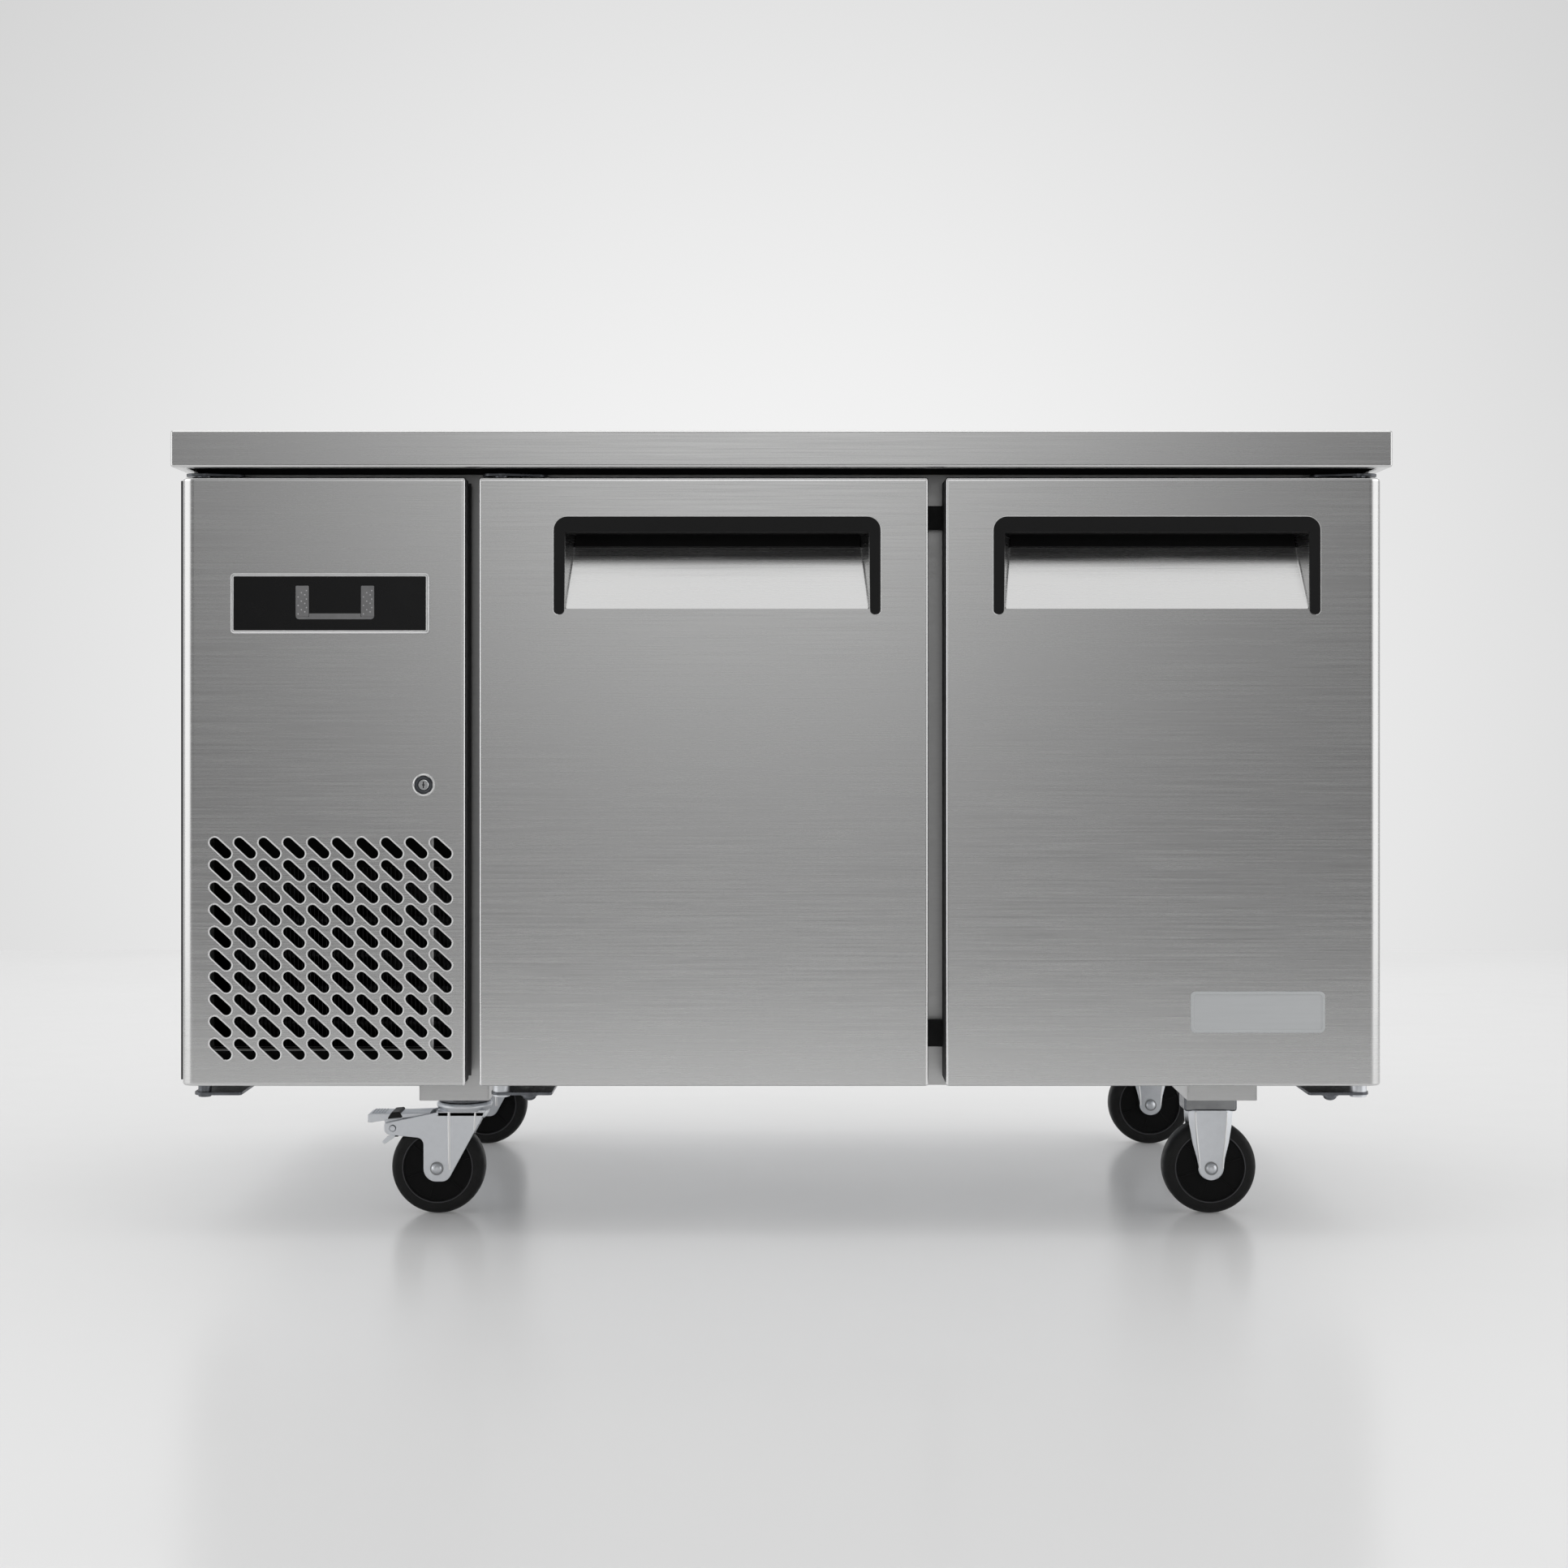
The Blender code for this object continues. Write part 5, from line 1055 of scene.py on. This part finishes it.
def build_swivel(name, braked):
    """A swivelling caster: mounting plate, ball races, fork, wheel and, if braked, its pedal."""
    plate_low, plate_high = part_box(f"{name}_caster_plate")
    ring_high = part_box(f"{name}_caster_fork")[1].z
    axle_low, axle_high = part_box(f"{name}_caster_axle")
    axle = (axle_low + axle_high) / 2
    x, y = ((plate_low + plate_high) / 2).xy
    body = f"{name}_swivel"
    upright = Matrix.Translation((x, y, 0.0))

    # Mounting plate with the fixed race
    shape = bmesh.new()
    add_mounting_plate(shape, plate_low, plate_high, x, y)
    top = plate_high.z - 0.0026
    race_low = ring_high + 0.0006
    race = [
        (0.006, top), (0.0262, top), (0.0270, top - 0.0010), (0.0262, top - 0.0030),
        (0.0272, race_low + 0.0022), (0.0266, race_low), (0.006, race_low),
    ]
    add_post(shape, x, y, plate_low.z, plate_low.z + 0.004, 0.0095, 6, 0.0006)
    add_post(shape, x, y, plate_low.z + 0.003, top, 0.0058, 24, 0.0002)
    # The fixed race gets the dark zinc: painted shade between the plate and the turning race.
    with painted(shape, 1):
        add_turned(shape, race, upright, 64, True)
    piece(f"{name}_mounting_plate", shape, "cabinet", "zinc", [zinc, dark_zinc], f"{name}_caster_plate")

    # Fork with its turning race
    shape = bmesh.new()
    ring_low = ring_high - 0.0082
    race = [
        (0.0066, ring_high), (0.0252, ring_high), (0.0272, ring_high - 0.0006), (0.0287, ring_high - 0.0022),
        (0.0290, ring_high - 0.0040), (0.0284, ring_high - 0.0056), (0.0266, ring_low),
        (0.0262, ring_low - 0.0012), (0.0066, ring_low - 0.0012),
    ]
    add_turned(shape, race, upright, 64, True)
    reach = 0.0205
    crown_low = (x - 0.0275, y - reach, ring_low - 0.0075)
    add_block(shape, crown_low, (x + 0.0240, y + reach, ring_low + 0.0002), 0.0022, 3)
    arm = joint_place(f"{name}_brake_press") if braked else None
    outlines = [fork_leg_outline(x, axle, ring_low + 0.0008, x + 0.0248, arm), circle(axle.xz, 0.0063)]
    if braked:
        outlines.append(circle(arm.xz, 0.0034, 24))
    for near in (y - reach, y + reach - 0.0025):
        add_plate(shape, "XZ", near, near + 0.0025, outlines, 0.0005)
    creases = (
        (axle.x + 0.0132, axle.z - 0.001, axle.x + 0.0126, 0.0016),
        (axle.x + 0.0392, axle.z + 0.040, axle.x + 0.0400, 0.0012),
    )
    # The creases get the highlight steel: painted highlight lines down each leg.
    with painted(shape, 1):
        for side in (y - reach, y + reach):
            for foot_x, foot_z, top_x, width in creases:
                add_tube(shape, [(foot_x, side, foot_z), (top_x, side, ring_low)], width, 10)
    piece(f"{name}_fork", shape, body, "zinc", [zinc, highlight_steel], f"{name}_caster_fork")
    build_axle(name, body)
    build_wheel(name)
    if braked:
        build_pedal(name, y, arm)


def outline_from(x, z, corners):
    """A rounded outline whose corners are given from a point."""
    return rounded([(x + across, z + up, radius) for across, up, radius in corners])


def build_pedal(name, y, pivot):
    """The brake pedal: a flat tread with a turned-down end, a dark saddle, lugs, shoe, tongue and pin."""
    low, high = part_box(f"{name}_brake_pedal")
    shape = bmesh.new()
    half = 0.0163
    near = y - half
    far = y + half
    top = high.z + 0.0022
    tread = [
        (high.x, top - 0.0034), (high.x, top), (pivot.x + 0.011, top - 0.0010), (low.x + 0.004, top - 0.0008),
        (low.x, top - 0.0024), (low.x - 0.0004, top - 0.0098), (low.x + 0.0035, top - 0.0104),
        (low.x + 0.0215, top - 0.0074), (pivot.x + 0.011, top - 0.0060),
    ]
    add_plate(shape, "XZ", near, far, [rounded([(*corner, 0.0005) for corner in tread], 2)], 0.0006)
    for index in range(5):
        at = low.x + 0.0045 + index * 0.0030
        add_tube(shape, [(at, near + 0.003, top - 0.0008), (at, far - 0.003, top - 0.0008)], 0.0007, 8)
    lug_top = top - 0.006 - pivot.z
    lug = outline_from(pivot.x, pivot.z, [
        (-0.006, -0.006, 0.0050), (0.006, -0.006, 0.0050), (0.010, lug_top, 0.0), (-0.010, lug_top, 0.0),
    ])
    for side in (near + 0.0003, far - 0.0023):
        add_plate(shape, "XZ", side, side + 0.002, [lug], 0.0003)
    tongue = outline_from(pivot.x, pivot.z, [
        (0.0030, -0.0060, 0.0006), (-0.0062, -0.0092, 0.0010), (-0.0118, -0.0150, 0.0008),
        (-0.0092, -0.0174, 0.0008), (0.0010, -0.0104, 0.0008),
    ])
    add_plate(shape, "XZ", near + 0.0004, near + 0.0020, [tongue], 0.0003)
    saddle = outline_from(pivot.x, top, [
        (-0.0060, -0.0066, 0.0006), (-0.0020, 0.0002, 0.0014), (0.0066, 0.0010, 0.0016),
        (0.0100, -0.0050, 0.0010),
    ])
    shoe = outline_from(pivot.x, low.z, [
        (-0.0027, 0.0, 0.0012), (0.0055, 0.0, 0.0014), (0.0050, 0.0045, 0.0008), (-0.0020, 0.0060, 0.0010),
    ])
    with painted(shape, 1):
        add_plate(shape, "XZ", near - 0.0012, far + 0.0012, [saddle], 0.0005)
        add_plate(shape, "XZ", near + 0.0026, far - 0.0026, [shoe], 0.0004)
    add_rod(shape, (pivot.x, low.y, pivot.z), (pivot.x, high.y, pivot.z), 0.003, 20, 0.0006)
    piece(f"{name}_pedal", shape, f"{name}_brake", "dark_metal", [zinc, black_plastic], f"{name}_brake_pedal")


def build_rigid(name):
    """A fixed caster: mounting plate and a fork of two tapering, flanged legs."""
    low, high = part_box(f"{name}_caster_fork")
    axle_low, axle_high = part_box(f"{name}_caster_axle")
    x, y, axle = (axle_low + axle_high) / 2
    shape = bmesh.new()
    add_mounting_plate(shape, low, high, x, y)

    # Neck: its dark zinc is a painted dark reflection, and its paler front and back faces are painted light
    reach = 0.0205
    leg_top = high.z - 0.0205
    neck = Vector((0.0275, reach - 0.0022))
    count = len(shape.faces)
    add_block(
        shape, (x - neck.x, y - neck.y, leg_top - 0.0006), (x + neck.x, y + neck.y, high.z - 0.0028), 0.003, 4
    )
    for face in list(shape.faces)[count:]:
        face.normal_update()
        face.material_index = 3 if abs(face.normal.y) > 0.95 else 1

    # Legs, from level to level with a half width, and the flange's width and depth
    end = 0.0122
    levels = [
        (leg_top + 0.0006, 0.0152, 0.0040, 0.0032), (leg_top - 0.0010, 0.0164, 0.0066, 0.0048),
        (axle + 0.045, 0.0158, 0.0062, 0.0046), (axle + 0.026, 0.0142, 0.0046, 0.0036),
        (axle + 0.010, 0.0124, 0.0020, 0.0016), (axle, end, 0.0004, 0.0003),
    ]
    creased = levels[1:]
    for step in range(1, 9):
        angle = math.radians(88.0 * step / 8)
        levels.append((axle - end * math.sin(angle), end * math.cos(angle), 0.0002, 0.0001))
    for facing in (-1.0, 1.0):
        rows = []
        for level, wide, flange, depth in levels:
            side = [(wide - 0.0006, 0.0), (wide + 0.0008, 0.0006), (wide + flange, depth)]
            section = [(-across, back) for across, back in reversed(side)] + [(0.0, 0.0)] + side
            spots = [(x + across, y + facing * (reach - back), level) for across, back in section]
            rows.append([Vector(spot) for spot in spots])
        add_sheet(shape, rows, Vector((0.0, -facing * 0.0023, 0.0)))
    # The creases get the highlight steel: painted highlight lines down each leg.
    with painted(shape, 2):
        for facing in (-1.0, 1.0):
            for hand in (-1.0, 1.0):
                points = [(x + hand * wide, y + facing * reach, level) for level, wide, *rest in creased]
                add_tube(shape, points, 0.0009, 8)
    finishes = [zinc, dark_zinc, highlight_steel, fins]
    piece(f"{name}_fork", shape, "cabinet", "zinc", finishes, f"{name}_caster_fork")
    build_axle(name, "cabinet")
    build_wheel(name)


# Inside


def build_shelf(name):
    """A wire shelf: a bent border wire, two stiffening wires and close cross wires on top."""
    low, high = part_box(name)
    border = 0.0030
    level = low.z + border
    left = low.x + border
    right = high.x - border
    shape = bmesh.new()
    corners = rectangle(low.xy, high.xy, 0.012, border, 6)
    add_tube(shape, [(*corner, level) for corner in corners], border, 12, True)
    for third in (1, 2):
        y = low.y + (high.y - low.y) * third / 3
        add_tube(shape, [(left, y, level - 0.0010), (right, y, level - 0.0010)], 0.0020, 10)
    count = round((high.x - low.x) / 0.0215)
    wire = 0.0015
    above = level + 0.0016
    for index in range(1, count):
        x = left + (right - left) * index / count
        add_tube(shape, [(x, low.y + wire, above), (x, high.y - wire, above)], wire, 8)
    piece(f"{name}_wires", shape, "cabinet", "chrome", [chrome], name)


def add_blades(shape, matrix, hub, tip, pitch, depth):
    """Five twisted, curved fan blades round a hub on the matrix's Z axis."""
    chord = 0.052
    for blade in range(5):
        turn = matrix @ Matrix.Rotation(2 * math.pi * blade / 5, 4, "Z")
        rows = []
        for step in range(7):
            share = step / 6
            radius = hub * 0.9 + (tip - hub * 0.9) * share
            width = chord * (0.62 + 0.55 * share - 0.25 * share**4)
            angle = math.radians(pitch * (1.35 - 0.55 * share))
            sweep = Matrix.Rotation(0.25 * share * share, 4, "Z")
            row = []
            for across in range(6):
                along = across / 5 - 0.5
                camber = 0.08 * width * (1 - 4 * along * along)
                height = along * width * math.sin(angle) + camber
                height = max(-depth / 2, min(depth / 2, height))
                row.append(turn @ sweep @ Vector((radius, along * width * math.cos(angle), height)))
            rows.append(row)
        add_sheet(shape, rows, matrix.to_3x3() @ Vector((0.0, 0.0, 0.0018)))


def build_fan(name, along, pitch):
    """A moulded axial fan that turns round a direction."""
    low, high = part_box(name)
    centre = joint_place(f"{name}_spin")
    centre += along * ((low + high) / 2 - centre).dot(along)
    depth = (high - low).dot(along)
    tip = max(high.z - centre.z, centre.z - low.z)
    half = depth / 2
    hub = 0.022
    profile = [
        (0.0044, half), (0.018, half), (0.0212, half - 0.0012), (hub, half - 0.004), (hub, -half),
        (0.0195, -half), (0.0190, half - 0.006), (0.0044, half - 0.006),
    ]
    shape = bmesh.new()
    matrix = axis_matrix(centre, along)
    add_turned(shape, profile, matrix, 40, True)
    add_blades(shape, matrix, hub, tip - 0.001, pitch, depth)
    piece(f"{name}_blades", shape, name, "black_plastic", [black_plastic], name)


def build_coil(name, span, sheet, pipe):
    """A block of fins between two end sheets, with the pipes through it; span is the pipes' axis, 0 or 1."""
    low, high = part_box(name)
    length = high[span] - low[span]
    count = round(length / 0.0042)
    slices = []
    for index in range(count):
        at = low[span] + 0.004 + index * (length - 0.008) / (count - 1)
        slices.append((at - 0.00022, at + 0.00022, 0.0))
    for at in (low[span], high[span] - SHEET):
        slices.append((at, at + SHEET, 0.0003))
    shape = bmesh.new()
    for start, end, bevel in slices:
        near = Vector(low)
        far = Vector(high)
        near[span] = start
        far[span] = end
        add_block(shape, near, far, bevel)
    deep = 1 - span
    rows = 6
    with painted(shape, 1):
        for row in range(rows):
            for share in (0.3, 0.7):
                start = low + (high - low) * ((row + 0.5) / rows)
                start[deep] = low[deep] + (high[deep] - low[deep]) * share
                end = start.copy()
                start[span] = low[span] + 0.0006
                end[span] = high[span] - 0.0006
                add_tube(shape, [start, end], 0.0040, 8)
    piece(f"{name}_fins", shape, "cabinet", "zinc", [sheet, pipe], name)


def build_compressor():
    """A welded steel can on a foot, with its terminal cover and four mounting bolts."""
    low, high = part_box("compressor")
    centre = Vector(((low.x + high.x) / 2, 0.148, low.z))
    radius = 0.078
    wide = radius * 0.955
    height = high.z - low.z
    arc = [math.radians(90.0 * step / 8) for step in range(9)]
    profile = [(wide * math.sin(angle), height * (0.80 + 0.20 * math.cos(angle))) for angle in arc]
    seam = [(0.955, 0.565), (0.985, 0.555), (1.0, 0.54), (0.985, 0.525), (0.955, 0.515)]
    profile += [(radius * across, height * up) for across, up in seam]
    profile += [(wide * math.cos(angle), height * (0.24 - 0.15 * math.sin(angle))) for angle in arc[:-1]]
    profile.append((0.0, height * 0.09))
    shape = bmesh.new()
    add_turned(shape, profile, Matrix.Translation(centre), 56)
    foot = low.z + 0.004
    outline = rectangle((low.x, centre.y - radius), (high.x, centre.y + radius), 0.016)
    add_plate(shape, "XY", low.z, foot, [outline], 0.0006)
    add_post(shape, centre.x, centre.y, low.z + 0.002, low.z + height * 0.15, radius * 0.5, 32, 0.001)
    for across in (-0.080, 0.080):
        for along in (-0.062, 0.062):
            add_bolt(shape, (centre.x + across, centre.y + along, foot - 0.0004), UP, 0.0055, 0.006)
    with painted(shape, 1):
        cover_low = (centre.x - 0.025, low.y, low.z + height * 0.30)
        cover_high = (centre.x + 0.025, centre.y - radius * 0.8, low.z + height * 0.70)
        add_block(shape, cover_low, cover_high, 0.004, 4)
    piece("compressor_can", shape, "cabinet", "dark_metal", [dark_metal, black_plastic], "compressor")


def build_bay_shade_sheets():
    """Black sheets on the machine bay's walls and over its coil, and a strip along the sill behind the panel;
    they stand in for the shade inside the bay (painted shade).
    """
    frame_low, frame_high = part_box("front_frame")
    shell_low, shell_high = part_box("outer_shell")
    coil_low, coil_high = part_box("condenser_coil")
    left = frame_low.x
    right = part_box("partition_panel")[0].x
    wall = frame_high.y + 0.002
    wall_top = frame_high.z - 0.012
    back = shell_high.y - 0.012
    shell = shell_low.y
    rim = frame_low.y
    coil = coil_low.y
    top = coil_high.z
    shape = bmesh.new()
    for low, high, bevel in (
        ((left + 0.0003, wall, 0.170), (left + 0.0030, back, wall_top), 0.0010),
        ((right - 0.0030, wall, 0.170), (right - 0.0003, back, wall_top), 0.0010),
        ((left + 0.020, shell - 0.0030, 0.1600), (right - 0.036, shell - 0.0002, 0.1845), 0.0010),
        ((left + 0.020, rim - 0.0011, 0.1640), (right - 0.020, rim - 0.0001, 0.1822), 0.0003),
        ((left + 0.0034, coil + 0.004, top + 0.0004), (right - 0.0034, coil + 0.007, top + 0.046), 0.0008),
    ):
        add_block(shape, low, high, bevel)
    piece("bay_shade_sheets", shape, "cabinet", "black_plastic", [bay_shade_black])


# Back, and nodes that keep their shape


def build_louvres():
    """Pressed hoods over the vents in the back, open below."""
    shell_low, shell_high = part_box("outer_shell")
    tray_low, tray_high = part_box("unit_tray")
    middle = (tray_low.x + tray_high.x) / 2
    half = 0.106
    ramp = 0.010
    height = 0.0150
    depth = 0.0075
    profile = [(0.0, 0.0), (0.25, 0.30), (0.55, 0.72), (0.80, 0.95), (1.0, 1.0)]  # shares of height and depth
    rises = (0.0, 0.3, 0.7, 1.0)
    columns = [(-half + ramp * rise, rise) for rise in rises]
    columns += [(half - ramp * rise, rise) for rise in reversed(rises)]
    shape = bmesh.new()
    for row in range(9):
        top = shell_low.z + 0.0678 + row * 0.024
        rows = []
        for down, out in profile:
            spots = []
            for across, rise in columns:
                swell = rise * rise * (3 - 2 * rise)
                y = shell_high.y + 0.0001 + depth * out * swell
                spots.append(Vector((middle + across, y, top - height * down)))
            rows.append(spots)
        add_sheet(shape, rows, Vector((0.0, 0.0010, 0.0)))
    piece("back_louvres", shape, "cabinet", "steel", [steel])


def build_back_screws():
    """The screws round the back sheet."""
    low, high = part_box("outer_shell")
    left, bottom = low.xz + Vector((0.014, 0.014))
    right, top = high.xz - Vector((0.014, 0.014))
    spots = [(left + (right - left) * share / 5, z) for share in range(6) for z in (bottom, top)]
    spots += [(x, bottom + (top - bottom) * share / 4) for share in (1, 2, 3) for x in (left, right)]
    shape = bmesh.new()
    for x, z in spots:
        add_screw(shape, (x, high.y, z), BACK)
    piece("back_screws", shape, "cabinet", "zinc", [zinc])


def dress_cad():
    """Better finishes for the CAD nodes that keep their shape."""
    finishes = {
        "outer_shell": steel, "front_frame": steel_shaded, "partition_panel": zinc, "bottom_panel": zinc,
        "insulation": foam, "inner_liner": lining, "centre_shelf_support": steel_inner, "unit_tray": zinc,
        "fan_shroud": zinc, "condenser_fan_motor": zinc, "evaporator_cover": steel_inner,
        "evaporator_fan_motor": black_plastic, "suction_pipe": copper, "cord_gland": black_plastic,
    }
    for name, finish in finishes.items():
        node = frame["nodes"][name]
        node.data.materials.clear()
        node.data.materials.append(finish)


# Stage, light and camera


def build_floor():
    """A pale floor that ends some way behind the object and before the camera."""
    mesh = bpy.data.meshes.new("floor")
    mesh.from_pydata([(*corner, 0.0) for corner in rectangle(*FLOOR)], [], [(0, 1, 2, 3)])
    floor = bpy.data.objects.new("floor", mesh)
    bpy.context.scene.collection.objects.link(floor)
    ground = surface(
        "floor_pale", (0.73, 0.73, 0.73), 0.22, wear=(3.0, 0.20, 0.25), IOR=1.24, Emission_Strength=0.10
    )
    mesh.materials.append(ground)


def build_room():
    """A pale room: dim in front of the object with a glow above the camera, bright behind it and overhead."""
    world = bpy.data.worlds.new("room")
    bpy.context.scene.world = world
    world.use_nodes = True
    tree = world.node_tree
    place = add_node(tree, "TexCoord").outputs["Generated"]
    parts = add_node(tree, "SeparateXYZ", place)
    limits = {"From_Min": -1.0, "From_Max": -0.50, "To_Min": ROOM_FRONT, "To_Max": ROOM_SIDES}
    depth = add_node(tree, "MapRange", parts.outputs["Y"], "Value", **limits)
    depth.interpolation_type = "SMOOTHSTEP"
    total = depth.outputs["Result"]
    for centre, radius, level in ROOM_GLOWS:
        offset = [-part / radius for part in centre]
        mapping = add_node(tree, "Mapping", place, Location=offset, Scale=[1 / radius] * 3)
        glow = add_node(tree, "TexGradient", mapping.outputs["Vector"])
        glow.gradient_type = "SPHERICAL"
        soft = add_node(tree, "MapRange", glow.outputs["Fac"], "Value", To_Max=level)
        soft.interpolation_type = "SMOOTHSTEP"
        add = add_node(tree, "Math")
        tree.links.new(total, add.inputs[0])
        tree.links.new(soft.outputs["Result"], add.inputs[1])
        total = add.outputs["Value"]
    back = tree.nodes["Background"]
    back.inputs["Color"].default_value = (1.0, 1.0, 1.0, 1.0)
    tree.links.new(total, back.inputs["Strength"])


def add_lamp(name, at, target, width, height, radiance):
    """A soft rectangular lamp of an even radiance."""
    lamp = bpy.data.lights.new(name, "AREA")
    lamp.shape = "RECTANGLE"
    lamp.size = width
    lamp.size_y = height
    lamp.energy = math.pi * width * height * radiance
    made = bpy.data.objects.new(name, lamp)
    made.location = at
    made.rotation_euler = (Vector(target) - Vector(at)).to_track_quat("-Z", "Y").to_euler()
    made.visible_camera = False
    bpy.context.scene.collection.objects.link(made)


def build_light():
    """Softboxes over the front and the back, and a tall one at either side."""
    add_lamp("overhead", (0.0, -1.7, 2.75), (0.0, 0.0, 0.5), 3.4, 1.5, 0.42)
    add_lamp("top", (0.0, -0.3, 3.0), (0.0, -0.29, 0.0), 3.4, 2.2, 0.52)
    add_lamp("rear", (0.0, 2.3, 1.9), (0.0, 0.5, 0.0), 4.6, 2.0, 0.63)
    for name, hand in (("left_strip", -1.0), ("right_strip", 1.0)):
        add_lamp(name, (hand * 2.15, -0.75, 0.80), (hand * 0.6, -0.33, 0.60), 2.0, 1.6, 0.74)


def build_camera():
    """The photograph's view: level, straight on and lower than the worktop."""
    lens = bpy.data.cameras.new("camera")
    lens.sensor_width = 36.0
    lens.lens = 57.8
    lens.shift_x = 0.0016
    lens.shift_y = -0.0419
    camera = bpy.data.objects.new("camera", lens)
    camera.location = (0.0, -2.82, 0.517)
    camera.rotation_euler = (math.pi / 2, 0.0, 0.0)
    bpy.context.scene.collection.objects.link(camera)
    bpy.context.scene.camera = camera
    bpy.context.scene.view_settings.view_transform = "Standard"


build_worktop()
build_door("left_door", EDGE, EDGE)
build_door("right_door", EDGE, BULLNOSE)
build_panel()
build_display()
build_keys()
build_lock()
build_bare_plate()
build_hinges("left_door", 1.0)
build_hinges("right_door", -1.0)
build_hinges("panel", 1.0)
build_mullion_covers()
build_gap_strips()
build_top_strip()
build_rail("left_caster_rail")
build_rail("right_caster_rail")
build_swivel("front_left", True)
build_swivel("rear_left", False)
build_rigid("front_right")
build_rigid("rear_right")
build_shelf("left_shelf")
build_shelf("right_shelf")
build_fan("condenser_fan", BACK, 24.0)
build_fan("evaporator_fan", RIGHT, 26.0)
build_coil("condenser_coil", 0, black_fins, dark_metal)
build_coil("evaporator_coil", 1, fins, copper)
build_compressor()
build_bay_shade_sheets()
build_louvres()
build_back_screws()
dress_cad()
build_floor()
build_room()
build_light()
build_camera()
